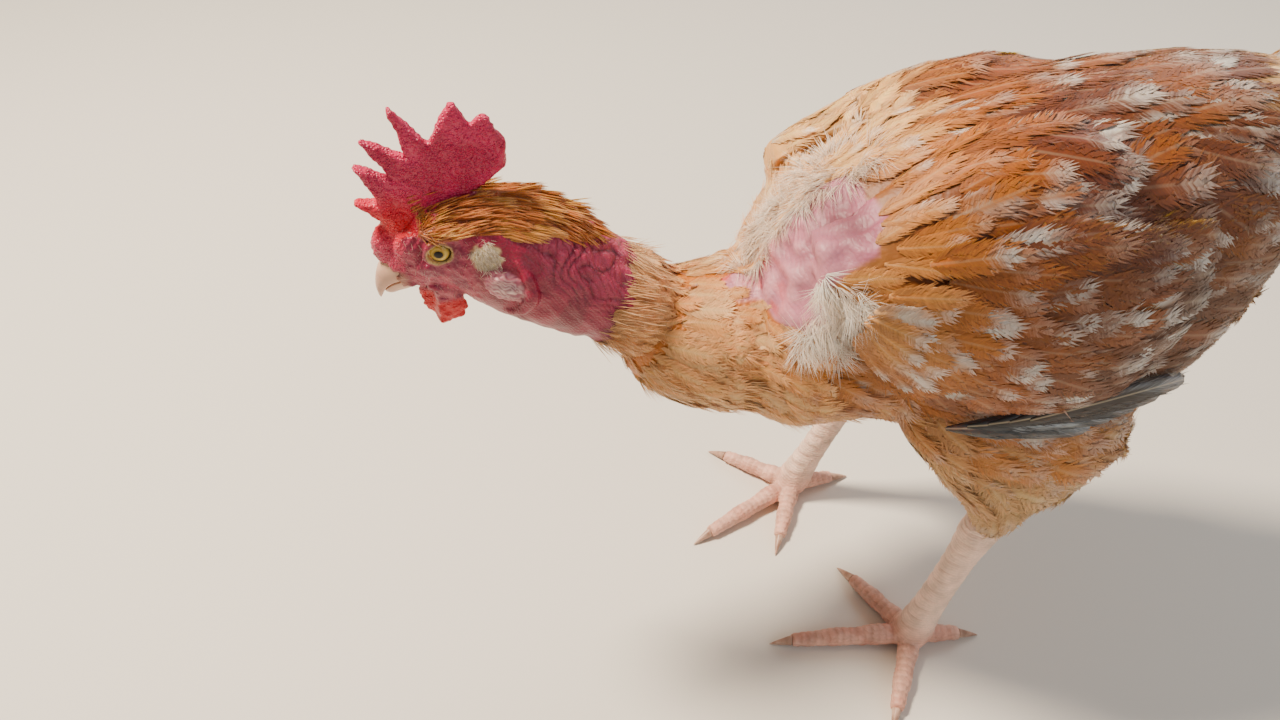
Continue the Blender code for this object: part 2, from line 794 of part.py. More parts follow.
# Toes: heading from straight ahead in degrees, length in mm.
TOES_LEFT = {"inner": (-62, 42), "middle": (-4, 62), "outer": (62, 44), "hind": (176, 25)}
TOES_RIGHT = {"inner": (-66, 40), "middle": (-28, 62), "outer": (38, 44), "hind": (172, 25)}
# Radius of a toe at its root in mm, and how much of it is lost by the tip.
TOE_RADIUS, TOE_TAPER = 5.1, 0.36
# The bottom of a toe is flat at this share of its radius below its middle.
TOE_FLAT = 0.92
PLATE_LENGTH, PLATE_RISE = 7.5, 0.55
CLAW_LENGTH = 11 * MM
# The ball of the foot, flat below: height, half width, reach ahead, reach behind, in mm.
PAD = ((0.8, 7.5, 8, 7), (3, 9.6, 10, 8.6), (7, 9.2, 9.6, 8.4), (11.7, 7.4, 8.4, 7.6))


def toe_heading(degrees, side):
    """Unit direction of a toe on the floor; outwards is away from the other foot."""
    angle = math.radians(degrees)
    return Vector((side * math.sin(angle), -math.cos(angle), 0))


def floor_ring(centre, across, radius, drop, rise=0.0):
    """A round section whose lowest part is cut flat at the share drop of its radius."""
    section = []
    for j in range(8):
        angle = math.tau * (j + 0.5) / 8
        high = radius + (rise if math.sin(angle) > 0.3 else 0)
        height = high * max(math.sin(angle) / drop, -1)
        section.append(centre + (across * (radius * math.cos(angle)) + Vector((0, 0, height))) * MM)
    return section


def make_toe(foot, direction, length, bones, helpers):
    """Raised plates follow each other along the top, and the joints are a little thicker."""
    across = direction.cross(Vector((0, 0, 1)))
    plates = round(length / PLATE_LENGTH)
    rings = []
    for k in range(2 * plates + 1):
        share = (k // 2 + (0.84 if k % 2 else 0.0)) / plates
        start = 4.0 * (1 - share)
        knuckle = 0.10 * math.cos(math.tau * share * bones)
        radius = TOE_RADIUS * (1 - TOE_TAPER * share) * (1 + knuckle)
        centre = foot + (direction * (length * share - start) + Vector((0, 0, radius))) * MM
        rings.append(floor_ring(centre, across, radius, TOE_FLAT, PLATE_RISE if k % 2 else 0.0))
    return loft("toe", rings, helpers)


def make_claw(name, tip, direction, parts, paint):
    """A blunt claw that starts on the flat end of its toe and lies on the floor."""
    across = direction.cross(Vector((0, 0, 1)))
    root = TOE_RADIUS * (1 - TOE_TAPER)
    rings = []
    for share, size in ((0, 0.86), (0.35, 0.68), (0.7, 0.42), (1.0, 0.13)):
        radius = root * size
        centre = tip + direction * (GAP + CLAW_LENGTH * share) + Vector((0, 0, radius * TOE_FLAT * MM))
        rings.append(floor_ring(centre, across, radius, 1.0))
    claw = loft(name, rings, parts, paint["claw"])
    lowest = min(vertex.co.z for vertex in claw.data.vertices)
    claw.data.transform(Matrix.Translation((0, 0, -lowest)))


def make_foot(side, word, foot, toes, parts, helpers, paint):
    pad = [(*(foot / MM + Vector((0, 0, z))), *widths) for z, *widths in PAD]
    ball_of_foot = loft(f"foot_{word}", limb_rings(np.array(pad) * MM, 10), parts, paint["shank_skin"])
    pieces = []
    for name, (degrees, length) in toes.items():
        direction = toe_heading(degrees, side)
        bones = 2 if name == "hind" else 3
        pieces.append(make_toe(foot, direction, length, bones, helpers))
        make_claw(f"claw_{name}_{word}", foot + direction * length * MM, direction, parts, paint)
    fuse(ball_of_foot, pieces, helpers)


def shift_to_base(parts):
    """Moves everything so that the origin is the bottom centre of the whole."""
    low = Vector((1e9,) * 3)
    high = Vector((-1e9,) * 3)
    for item in parts.objects:
        for vertex in item.data.vertices:
            for axis in range(3):
                low[axis] = min(low[axis], vertex.co[axis])
                high[axis] = max(high[axis], vertex.co[axis])
    move = Vector((-(low.x + high.x) / 2, -(low.y + high.y) / 2, -low.z))
    for item in parts.objects:
        item.data.transform(Matrix.Translation(move))


def main():
    clear_scene()
    parts = new_collection("naked_neck_hen")
    helpers = new_collection("helpers")
    helpers.hide_render = True
    paint = {name: make_material(name, 0.4 if name in ("eye", "horn") else 0.7) for name in COLOURS}
    cutters = {
        "torso": loft("cut_torso", torso_rings(GAP), helpers),
        "neck": loft("cut_neck", neck_rings(GAP), helpers),
        "neck_tuft": loft("cut_tuft", tuft_rings(GAP), helpers),
        "head": loft("cut_head", head_rings(GAP), helpers),
        "thigh_left": loft("cut_thigh_left", thigh_rings(1, HOCK_LEFT, GAP), helpers),
        "thigh_right": loft("cut_thigh_right", thigh_rings(-1, HOCK_RIGHT, GAP), helpers),
        "beak": loft("cut_beak", beak_rings(BEAK_UPPER, GAP), helpers),
    }
    for cutter in cutters.values():
        cutter.hide_render = True
        cutter.display_type = "WIRE"
    make_torso(parts, paint)
    make_neck(parts, paint)
    make_tuft(parts, helpers, cutters, paint, random.Random(SEEDS["tuft"]))
    make_head(parts, helpers, cutters, paint)
    make_eyes(parts, paint)
    make_beak(parts, helpers, cutters, paint)
    make_comb(parts, helpers, cutters, paint)
    make_wattles_and_lobes(parts, helpers, cutters, paint)
    for side, word, hock, foot, toes in (
        (1, "left", HOCK_LEFT, FOOT_LEFT, TOES_LEFT),
        (-1, "right", HOCK_RIGHT, FOOT_RIGHT, TOES_RIGHT),
    ):
        make_wing(side, word, parts, helpers, cutters, paint, random.Random(SEEDS[word]))
        make_thigh(side, word, hock, parts, cutters, paint)
        make_shank(word, hock, foot, parts, paint)
        make_foot(side, word, foot, toes, parts, helpers, paint)
    make_tail(parts, helpers, cutters, paint, random.Random(SEEDS["tail"]))
    shift_to_base(parts)
    for item in parts.objects:
        item.data.shade_smooth()
        item.data.set_sharp_from_angle(angle=math.radians(35))


main()
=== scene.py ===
import math

import bmesh
import bpy
import numpy as np
from mathutils import Matrix, Vector


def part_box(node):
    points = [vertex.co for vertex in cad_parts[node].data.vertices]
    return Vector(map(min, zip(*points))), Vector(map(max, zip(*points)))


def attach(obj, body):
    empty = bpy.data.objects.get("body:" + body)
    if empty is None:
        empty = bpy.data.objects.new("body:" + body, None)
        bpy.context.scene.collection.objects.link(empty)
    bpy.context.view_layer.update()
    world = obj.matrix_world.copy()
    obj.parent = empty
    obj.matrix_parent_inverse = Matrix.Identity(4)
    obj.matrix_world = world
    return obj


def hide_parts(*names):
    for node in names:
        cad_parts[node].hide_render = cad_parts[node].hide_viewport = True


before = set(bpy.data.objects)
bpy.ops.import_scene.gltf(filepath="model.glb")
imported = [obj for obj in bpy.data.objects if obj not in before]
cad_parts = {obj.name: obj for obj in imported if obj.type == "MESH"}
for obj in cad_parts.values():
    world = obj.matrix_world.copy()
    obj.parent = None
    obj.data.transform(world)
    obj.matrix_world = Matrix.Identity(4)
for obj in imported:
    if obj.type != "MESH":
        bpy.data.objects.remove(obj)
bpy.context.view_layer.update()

# The hen is described in millimetres about the floor point midway between her feet:
# she faces -Y, her left is +X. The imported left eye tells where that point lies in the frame.
eye = {"place": (10.6, -188.5, 231.5), "radius": 5.2}
eyeBox = np.array(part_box("eye_left"))
shift = eyeBox.mean(axis=0) - np.array(eye["place"]) * 0.001


def toMetres(points):
    return np.asarray(points, float) * 0.001 + shift


def linear(code):
    # sRGB hex to linear light
    channels = np.array([int(code[i:i + 2], 16) / 255 for i in (0, 2, 4)])
    return np.where(channels <= 0.04045, channels / 12.92, ((channels + 0.055) / 1.055) ** 2.4)


def smoothStep(low, high, values):
    t = np.clip((np.asarray(values, float) - low) / (high - low), 0, 1)
    return t * t * (3 - 2 * t)


def blendTones(first, second, share):
    share = np.asarray(share)[..., None]
    return first * (1 - share) + second * share


def asTone(tone):
    return linear(tone) if isinstance(tone, str) else tone


def paintOver(base, *layers):
    # Layers of tone over a base, each with the share of it that hides what lies below
    for tone, share in layers:
        base = blendTones(asTone(base), asTone(tone), share)
    return base


def waves(points, size, seed, count=14):
    # Smooth noise about zero, with hills about size millimetres apart.
    draw = np.random.default_rng(seed)
    total = np.zeros(len(points))
    for _ in range(count):
        heading = draw.normal(size=3)
        heading /= np.linalg.norm(heading)
        pitch = size * draw.uniform(0.7, 1.5)
        total += np.sin(points @ heading * math.tau / pitch + draw.uniform(0, math.tau))
    return total / math.sqrt(count / 2)


def unit(vectors):
    return vectors / np.maximum(np.linalg.norm(vectors, axis=-1, keepdims=True), 1e-9)


def smoothRows(rows, places):
    # Catmull-Rom through the rows, read at many places at once
    rows = np.array(rows, float)
    places = np.atleast_1d(np.asarray(places, float))
    padded = np.vstack([2 * rows[0] - rows[1], rows, 2 * rows[-1] - rows[-2]])
    k = np.clip(places.astype(int), 0, len(rows) - 2)
    t = (places - k)[:, None]
    a, b, c, d = padded[k], padded[k + 1], padded[k + 2], padded[k + 3]
    return 0.5 * (2 * b + (c - a) * t + (2 * a - 5 * b + 4 * c - d) * t ** 2
                  + (3 * b - a - 3 * c + d) * t ** 3)


# Meshes

def makeObject(name, points, faces, hidden=False):
    mesh = bpy.data.meshes.new(name)
    mesh.from_pydata(np.asarray(points, float).tolist(), [], faces)
    made = bpy.data.objects.new(name, mesh)
    if not hidden:
        bpy.context.scene.collection.objects.link(made)
    return made


def gridFaces(rings, segments, closedEnds=True, start=0):
    faces = []
    for r in range(rings - 1):
        for k in range(segments):
            n = (k + 1) % segments
            a, b = start + r * segments, start + (r + 1) * segments
            faces.append((a + k, a + n, b + n, b + k))
    if closedEnds:
        faces.append(tuple(start + k for k in reversed(range(segments))))
        faces.append(tuple(start + (rings - 1) * segments + k for k in range(segments)))
    return faces


def loftShape(rings):
    # rings: (count, segments, 3) in millimetres
    rings = np.asarray(rings, float)
    return rings.reshape(-1, 3), gridFaces(rings.shape[0], rings.shape[1])


def ballShape(centre, radii, turn=None, segments=28, rows=16):
    points = []
    for r in range(rows + 1):
        polar = math.pi * (0.02 + 0.96 * r / rows)
        for k in range(segments):
            angle = math.tau * k / segments
            points.append((math.sin(polar) * math.cos(angle), math.sin(polar) * math.sin(angle),
                           math.cos(polar)))
    points = np.array(points) * np.array(radii)
    if turn is not None:
        points = points @ np.array(turn).T
    return points + np.array(centre), gridFaces(rows + 1, segments)


def roundRings(path, radii, side, other, segments):
    # Round sections along a path, each spanned by side and other
    angles = np.linspace(0, math.tau, segments, endpoint=False)[None, :, None]
    return path[:, None] + radii[:, None, None] * (np.cos(angles) * np.reshape(side, (-1, 1, 3))
                                                   + np.sin(angles) * np.reshape(other, (-1, 1, 3)))


def tubeShape(path, radii, segments=14):
    # A round bar along a smooth path, with one radius for each of its places
    count = 6 * len(path)
    path = smoothRows(path, np.linspace(0, len(path) - 1, count))
    radii = smoothRows([(radius,) for radius in radii], np.linspace(0, len(radii) - 1, count))[:, 0]
    along = unit(np.gradient(path, axis=0))
    side = unit(np.cross(along, (0.31, 0.17, 0.93)))
    return loftShape(roundRings(path, radii, side, np.cross(along, side), segments))


def faceOutwards(mesh):
    work = bmesh.new()
    work.from_mesh(mesh)
    bmesh.ops.remove_doubles(work, verts=work.verts, dist=1e-7)
    bmesh.ops.recalc_face_normals(work, faces=work.faces)
    if work.calc_volume(signed=True) < 0:
        bmesh.ops.reverse_faces(work, faces=work.faces)
    work.to_mesh(mesh)
    work.free()


def finished(made):
    # The object with its modifiers turned into plain mesh
    graph = bpy.context.evaluated_depsgraph_get()
    graph.update()
    mesh = bpy.data.meshes.new_from_object(made.evaluated_get(graph))
    made.modifiers.clear()
    old = made.data
    made.data = mesh
    bpy.data.meshes.remove(old)
    return made


def fuseShapes(name, shapes, voxel, smoothing):
    # One closed skin over all the shapes, in millimetres here and in metres in the mesh
    points, faces, start = [], [], 0
    for shapePoints, shapeFaces in shapes:
        points.append(shapePoints)
        faces += [tuple(start + i for i in face) for face in shapeFaces]
        start += len(shapePoints)
    made = makeObject(name, toMetres(np.vstack(points)), faces)
    work = bmesh.new()
    work.from_mesh(made.data)
    bmesh.ops.recalc_face_normals(work, faces=work.faces)
    work.to_mesh(made.data)
    work.free()
    remesh = made.modifiers.new("remesh", "REMESH")
    remesh.mode = "VOXEL"
    remesh.voxel_size = voxel * 0.001
    soften = made.modifiers.new("soften", "SMOOTH")
    soften.factor = 0.6
    soften.iterations = smoothing
    return finished(made)


def readPoints(mesh):
    points = np.empty(len(mesh.vertices) * 3)
    mesh.vertices.foreach_get("co", points)
    return (points.reshape(-1, 3) - shift) * 1000


def writePoints(mesh, points):
    mesh.vertices.foreach_set("co", toMetres(points).ravel())
    mesh.update()


def readNormals(mesh):
    normals = np.empty(len(mesh.vertices) * 3)
    mesh.vertices.foreach_get("normal", normals)
    return normals.reshape(-1, 3)


def readCorners(mesh):
    corners = np.empty(len(mesh.loops), int)
    mesh.loops.foreach_get("vertex_index", corners)
    return corners


def addTone(mesh, name, values):
    layer = mesh.attributes.new(name, "FLOAT_COLOR", "POINT")
    values = np.clip(values, 0, 1)
    layer.data.foreach_set("color", np.hstack([values, np.ones((len(values), 1))]).ravel())


def addValue(mesh, name, values):
    layer = mesh.attributes.new(name, "FLOAT", "POINT")
    layer.data.foreach_set("value", np.asarray(values, float))


def addVector(mesh, name, vectors):
    layer = mesh.attributes.new(name, "FLOAT_VECTOR", "POINT")
    layer.data.foreach_set("vector", np.asarray(vectors, float).ravel())


def rideAndReplace(piece, slot, *nodes):
    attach(piece, "root")
    if nodes:
        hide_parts(*nodes)


# Materials

def addNode(tree, kind, settings=None, **links):
    # One node with its settings, and its inputs set or linked by name
    node = tree.nodes.new(kind)
    for key, value in (settings or {}).items():
        setattr(node, key, value)
    for key, value in links.items():
        socket = node.inputs[int(key[1:])] if key[1:].isdigit() else node.inputs[key.replace("_", " ")]
        if isinstance(value, bpy.types.NodeSocket):
            tree.links.new(value, socket)
        else:
            socket.default_value = value
    return node


def attributeOf(tree, name):
    return addNode(tree, "ShaderNodeAttribute", {"attribute_name": name}).outputs


def rangeOf(tree, value, low, high, start=0.0, end=1.0, soft=False):
    settings = {"interpolation_type": "SMOOTHSTEP"} if soft else None
    node = addNode(tree, "ShaderNodeMapRange", settings, i0=value, i1=low, i2=high, i3=start, i4=end)
    return node.outputs[0]


def noiseOf(tree, place, scale, detail):
    return addNode(tree, "ShaderNodeTexNoise", None, Vector=place, Scale=scale, Detail=detail).outputs[0]


def calcIn(tree):
    # Sums of sockets and numbers, written as calc("ADD", a, b)
    return lambda operation, a, b=0.0, c=0.0: addNode(
        tree, "ShaderNodeMath", {"operation": operation}, i0=a, i1=b, i2=c).outputs[0]


def addBump(tree, shader, strength, distance, height):
    bump = addNode(tree, "ShaderNodeBump", None, Strength=strength, Distance=distance, Height=height)
    tree.links.new(bump.outputs[0], shader.inputs["Normal"])


def rampOf(tree, fac, stops):
    node = addNode(tree, "ShaderNodeValToRGB", None, i0=fac)
    ramp = node.color_ramp
    for place, tone in stops[1:-1]:
        ramp.elements.new(place)
    for element, (place, tone) in zip(ramp.elements, stops):
        element.position = place
        element.color = (*(linear(tone) if isinstance(tone, str) else (tone,) * 3), 1)
    return node.outputs["Color"]


def newMaterial(name, roughness, **extra):
    material = bpy.data.materials.new(name)
    material.use_nodes = True
    tree = material.node_tree
    shader = tree.nodes["Principled BSDF"]
    shader.inputs["Roughness"].default_value = roughness
    for key, value in extra.items():
        shader.inputs[key.replace("_", " ")].default_value = value
    return material, tree, shader


def makeFeatherMaterial(name, sheen=0.15, rough=0.55, shaftTone=0.1):
    # Keratin webs of a feather: fine barbs slant from the shaft to the edge, silky along them
    material, tree, shader = newMaterial(name, rough, Sheen_Weight=sheen, Specular_IOR_Level=0.3,
                                         Subsurface_Weight=0.35, Subsurface_Scale=0.003)
    shader.inputs["Subsurface Radius"].default_value = (1.0, 0.5, 0.25)
    web, mark = attributeOf(tree, "webTone")["Color"], attributeOf(tree, "markTone")["Color"]
    parts = addNode(tree, "ShaderNodeSeparateXYZ", None, Vector=attributeOf(tree, "marks")["Vector"])
    place = addNode(tree, "ShaderNodeUVMap", {"uv_map": "vane"})
    uv = addNode(tree, "ShaderNodeSeparateXYZ", None, Vector=place.outputs["UV"])
    calc = calcIn(tree)
    across = calc("ABSOLUTE", calc("SUBTRACT", uv.outputs["X"], 0.5))
    barb = calc("SUBTRACT", uv.outputs["Y"], calc("MULTIPLY", across, 0.55))
    which = calc("MULTIPLY", parts.outputs["Z"], 37.0)
    lines = addNode(tree, "ShaderNodeCombineXYZ", None, X=calc("MULTIPLY", barb, 38.0),
                    Y=calc("MULTIPLY", uv.outputs["X"], 2.0), Z=which)
    streak = noiseOf(tree, lines.outputs[0], 1.0, 2.0)
    broad = addNode(tree, "ShaderNodeCombineXYZ", None, X=calc("MULTIPLY", uv.outputs["X"], 2.4),
                    Y=calc("ADD", calc("MULTIPLY", barb, 1.8), calc("MULTIPLY", streak, 0.8)), Z=which)
    cloud = noiseOf(tree, broad.outputs[0], 1.0, 2.0)
    # markings: a pale fringe at the tip, and blotches that take in part of a web
    tip = rangeOf(tree, calc("ADD", barb, calc("MULTIPLY", streak, 0.5)), 0.82, 1.30, soft=True)
    blotch = rangeOf(tree, calc("ADD", cloud, parts.outputs["Y"]), 0.68, 1.12, soft=True)
    share = calc("MAXIMUM", calc("MULTIPLY", tip, parts.outputs["X"]), blotch)
    marked = addNode(tree, "ShaderNodeMix", {"data_type": "RGBA"}, i0=share, i6=web, i7=mark)
    # the web darkens towards its root: painted shade where the next feathers overlap it; the streaks follow
    # the barbs
    shade = calc("MULTIPLY", rangeOf(tree, streak, 0.28, 0.72, 0.76, 1.16),
                 rangeOf(tree, uv.outputs["Y"], 0.2, 0.9, 0.80, 1.04))
    tinted = addNode(tree, "ShaderNodeVectorMath", {"operation": "SCALE"}, i0=marked.outputs[2], Scale=shade)
    shaft = rangeOf(tree, across, 0.012, 0.035, shaftTone, 0.0)
    shafted = addNode(tree, "ShaderNodeMix", {"data_type": "RGBA"}, i0=shaft, i6=tinted.outputs[0],
                      i7=(*linear("E8D0AC"), 1))
    tree.links.new(shafted.outputs[2], shader.inputs["Base Color"])
    addBump(tree, shader, 0.25, 0.0004, streak)
    return material


def makeSkinMaterial(name, rough, grainScale, subsurface, gloss=0.4):
    # Live bare skin: soft below, moist on top, with pimples, and creases that follow their own phase
    material, tree, shader = newMaterial(name, rough, Subsurface_Weight=subsurface, Subsurface_Scale=0.003,
                                         Specular_IOR_Level=gloss)
    shader.inputs["Subsurface Radius"].default_value = (1.0, 0.28, 0.16)
    tone, grainShare = attributeOf(tree, "skinTone")["Color"], attributeOf(tree, "grain")["Fac"]
    phase, depth = attributeOf(tree, "creasePhase")["Fac"], attributeOf(tree, "creaseDepth")["Fac"]
    where = addNode(tree, "ShaderNodeTexCoord").outputs["Object"]
    calc = calcIn(tree)
    cells = addNode(tree, "ShaderNodeTexVoronoi", None, Vector=where, Scale=grainScale)
    fine = noiseOf(tree, where, 330.0, 4.0)
    raised = calc("MULTIPLY", rangeOf(tree, cells.outputs["Distance"], 0.0, 0.6, 1.0, 0.0), grainShare)
    broad = noiseOf(tree, where, 120.0, 2.0)
    fold = calc("POWER", calc("ABSOLUTE", calc("SINE", calc("MULTIPLY_ADD", broad, 9.0, phase))), 0.6)
    crease = calc("MULTIPLY", calc("SUBTRACT", 1.0, fold), depth)
    height = calc("SUBTRACT", calc("ADD", raised, calc("MULTIPLY", fine, 0.5)), crease)
    addBump(tree, shader, 0.9, 0.0007, height)
    # the base tone is lighter on raised papillae, partly their paler tips and partly a painted highlight, and
    # darker in the creases as painted shade; the fine noise is the skin's own mottle
    light = calc("MULTIPLY", rangeOf(tree, fine, 0.3, 0.7, 0.92, 1.07),
                 calc("MULTIPLY_ADD", raised, 0.34, 0.90))
    tinted = addNode(tree, "ShaderNodeVectorMath", {"operation": "SCALE"}, i0=tone,
                     Scale=calc("MULTIPLY", light, calc("MULTIPLY_ADD", crease, -0.55, 1.0)))
    tree.links.new(tinted.outputs[0], shader.inputs["Base Color"])
    return material


def makeHornMaterial(name, stops, scale, axis):
    # Horn grows in thin layers, so its tone runs with its length
    material, tree, shader = newMaterial(name, 0.38, Specular_IOR_Level=0.45, Subsurface_Weight=0.08,
                                         Subsurface_Scale=0.002)
    where = addNode(tree, "ShaderNodeTexCoord")
    lay = addNode(tree, "ShaderNodeMapping", None, Vector=where.outputs["Object"])
    lay.inputs["Scale"].default_value = axis
    grain = noiseOf(tree, lay.outputs[0], scale, 4.0)
    tree.links.new(rampOf(tree, grain, stops), shader.inputs["Base Color"])
    addBump(tree, shader, 0.3, 0.0002, grain)
    return material


# The body's main lines, the same as the solids' (millimetres)

torsoRows = (
    (-66, 180, 36, 36, 38), (-52, 188, 47, 52, 52), (-25, 197, 55, 67, 64), (10, 201, 60, 78, 74),
    (50, 204, 62, 83, 80), (85, 209, 59, 82, 86), (112, 217, 52, 74, 83), (134, 229, 40, 58, 67),
    (148, 239, 23, 32, 38),
)
spineRows = (
    (-62, 178, 31, 30, 33), (-80, 177, 34, 29, 37), (-99, 182, 30, 26, 36), (-114, 191.5, 22.5, 21, 22),
    (-125, 199, 21, 20, 21), (-140, 208, 22, 23, 24), (-156, 218, 21, 25, 26), (-166, 222.5, 19.5, 25, 25),
    (-177, 225, 17, 23, 22.5), (-187, 224.5, 14.5, 20.5, 18.5), (-197, 220.5, 11, 15.5, 13),
    (-205.5, 215.5, 8, 9.5, 9),
)
tailCore = ((112, 262, 24, 18, 20), (130, 268, 19, 15, 16), (146, 277, 13, 10, 11), (158, 285, 8, 6, 7))
# how deep the skin lies below the outer form that the coat fills, its grain and how square it is
body = {"torsoDepth": 6.0, "wingDepth": 6.0, "thighDepth": 4.5, "tuftDepth": 5.0, "voxel": 1.6,
        "power": 2.35}


def ovalRings(middles, side, up, widths, segments, power=2.0):
    # One closed section at each middle: widths are half width, reach up and reach down
    angles = np.linspace(0, math.tau, segments, endpoint=False)
    c = np.sign(np.cos(angles)) * abs(np.cos(angles)) ** (2 / power)
    s = np.sign(np.sin(angles)) * abs(np.sin(angles)) ** (2 / power)
    half, high, low = widths.T[:, :, None]
    reach = np.where(s > 0, high, low) * s
    return middles[:, None] + (half * c)[..., None] * side[:, None] + reach[..., None] * up[:, None]


def spineRings(rows, start, end, count, segments, shrink=0.0):
    places = np.linspace(start, end, count)
    values = smoothRows(rows, places)
    step = (smoothRows(rows, np.clip(places + 0.02, 0, len(rows) - 1))
            - smoothRows(rows, np.clip(places - 0.02, 0, len(rows) - 1)))[:, :2]
    step = unit(step)
    middles = np.stack([0 * places, values[:, 0], values[:, 1]], 1)
    up = np.stack([0 * places, -step[:, 1], step[:, 0]], 1)
    up = np.where(up[:, 2:] < 0, -up, up)
    side = np.tile((1.0, 0, 0), (count, 1))
    return ovalRings(middles, side, up, values[:, 2:] - np.reshape(shrink, (-1, 1)), segments)


def torsoRings(count=60, segments=72):
    values = smoothRows(torsoRows, np.linspace(0, len(torsoRows) - 1, count))
    y = values[:, 0]
    middles = np.stack([0 * y, y, values[:, 1]], 1)
    # the bare hollow above the crop has no coat on it, so the skin comes out to the full size there
    bare = 1 - smoothStep(-52, -30, y)
    widths = values[:, 2:] - body["torsoDepth"] * (1 - 0.75 * bare)[:, None]
    return ovalRings(middles, np.tile((1.0, 0, 0), (count, 1)), np.tile((0, 0, 1.0), (count, 1)), widths,
                     segments, body["power"])


wing = {"front": -58, "length": 152, "top": (247, 263, 274, 280, 281, 277, 268),
        "low": (222, 197, 178, 165, 160, 163, 178)}


def wingPoint(u, v, rise=0.0):
    # A curved shield on the left flank: u runs from the shoulder back, v from the top edge down
    u, v = np.broadcast_arrays(np.asarray(u, float), np.asarray(v, float))
    places = np.clip(u, 0, 1).ravel() * (len(wing["top"]) - 1)
    top = smoothRows([(z,) for z in wing["top"]], places)[:, 0].reshape(u.shape)
    low = smoothRows([(z,) for z in wing["low"]], places)[:, 0].reshape(u.shape)
    arch = np.sin(math.pi * (0.10 + 0.66 * v))
    taper = 1 - 0.40 * abs(2 * u - 0.95) ** 2.6
    return np.stack([31 + 42 * arch * taper + rise, wing["front"] + wing["length"] * u,
                     top + (low - top) * v], -1)


def wingFrame(u, v):
    step = 0.02
    here = wingPoint(u, v)
    back = unit(wingPoint(u + step, v) - wingPoint(u - step, v))
    down = unit(wingPoint(u, v + step) - wingPoint(u, v - step))
    out = unit(np.cross(down, back))
    return here, back, down, np.where(out[..., :1] < 0, -out, out)


def wingRings(side):
    rings = []
    for k in range(25):
        u = 0.02 + 0.96 * k / 24
        shrink = 0.2 + 0.8 * math.sin(math.pi * (0.03 + 0.94 * u)) ** 0.5
        depth = body["wingDepth"] + 16 * (1 - shrink)
        v = np.linspace(0.5 - shrink / 2, 0.5 + shrink / 2, 25)
        inner = np.linspace(0.5 + 0.45 * shrink, 0.5 - 0.45 * shrink, 15)
        rings.append(np.vstack([
            wingPoint(u, v, -depth - 3 * abs(2 * v - 1) ** 3),
            wingPoint(u, inner, -30),
        ]))
    rings = np.array(rings)
    rings[..., 0] *= side
    return rings


legs = {
    "left": {"side": 1, "hock": (53, 42, 87), "foot": (53, 26, 0),
             "toes": {"inner": (-62, 42), "middle": (-4, 62), "outer": (62, 44), "hind": (176, 25)}},
    "right": {"side": -1, "hock": (-52, 20, 87), "foot": (-53, -10, 0),
              "toes": {"inner": (-66, 40), "middle": (-28, 62), "outer": (38, 44), "hind": (172, 25)}},
}


def levelRings(rows, segments):
    # Level sections: x, y, z, half width, reach ahead, reach behind
    angles = np.linspace(0, math.tau, segments, endpoint=False)
    rows = np.asarray(rows, float)
    reach = np.where(np.sin(angles) > 0, rows[:, 5:6], rows[:, 4:5]) * np.sin(angles)
    return np.stack([rows[:, 0:1] + rows[:, 3:4] * np.cos(angles), rows[:, 1:2] + reach,
                     np.repeat(rows[:, 2:3], segments, 1)], -1)


def thighRings(leg, depth):
    side, (x, y, z) = leg["side"], leg["hock"]
    rows = smoothRows((
        (side * 44, 30, 178, 18, 46, 50),
        (side * 46, 31, 156, 19, 46, 62),
        (side * 48, 0.5 * (32 + y), 134, 18, 34, 58),
        (side * 50, 0.25 * 34 + 0.75 * y, 114, 14.5, 19, 39),
        (x, y, z + 13, 10, 10.5, 16),
        (x, y, z + 4, 7.6, 7.6, 8.0),
    ), np.linspace(0, 5, 30))
    fade = np.linspace(1, 0.25, 30)[:, None]
    rows[:, 3:] -= depth * fade
    return levelRings(rows, 40)


# The plumage: one formula gives the tone at a place, to the skin under the coat and to the feathers

tones = {
    "rust": linear("642200"), "amber": linear("964600"), "buff": linear("C87420"),
    "cream": linear("FCC074"), "white": linear("F8ECDC"), "brown": linear("6A3408"),
    "dark": linear("482810"), "pale": linear("D2A064"),
}


def plumageTone(points):
    x, y, z = points.T
    back = smoothStep(205, 262, z + 3.6 * waves(points, 20, 200))
    flank = smoothStep(38, 58, abs(x)) * smoothStep(150, 185, z)
    wingSide = flank * (0.25 + 0.75 * smoothStep(256, 228, z))
    # far: the cream at the front is strongest on the far side (x < 0), painted light as on a sunlit far
    # shoulder
    far = 0.25 + 0.6 * smoothStep(16, -6, x)
    ahead = smoothStep(-22, -48, y - 14 * smoothStep(6, -6, x))
    return paintOver(
        tones["pale"],
        (tones["buff"], smoothStep(120, 185, z + 14 * waves(points, 26, 201))),
        (tones["amber"], 0.6 * smoothStep(0.4, 1.4, waves(points, 24, 202))),
        (tones["amber"], 0.9 * np.maximum(back, flank)),
        (tones["rust"], back * smoothStep(-1.0, 0.6, waves(points, 34, 203)) * smoothStep(-25, 20, y)),
        (tones["brown"], 0.55 * back * smoothStep(0, 60, y + 12 * waves(points, 22, 207))),
        # the wing's lower and rear part turns brown and dark: partly its own darker brown, partly painted
        # shade of the lower rear flank
        (tones["brown"], 0.85 * wingSide * smoothStep(-30, 55, y + 16 * waves(points, 28, 204))),
        (tones["dark"], 0.6 * wingSide * smoothStep(25, 85, y + 20 * waves(points, 24, 205))),
        (tones["buff"], 0.7 * smoothStep(-4, -40, y) * smoothStep(180, 215, z)),
        (tones["cream"], far * ahead * smoothStep(205, 225, z)),
        (tones["buff"], smoothStep(-58, -68, y)),
        (tones["cream"], smoothStep(88, 112, y) * smoothStep(258, 276, z)),
    )


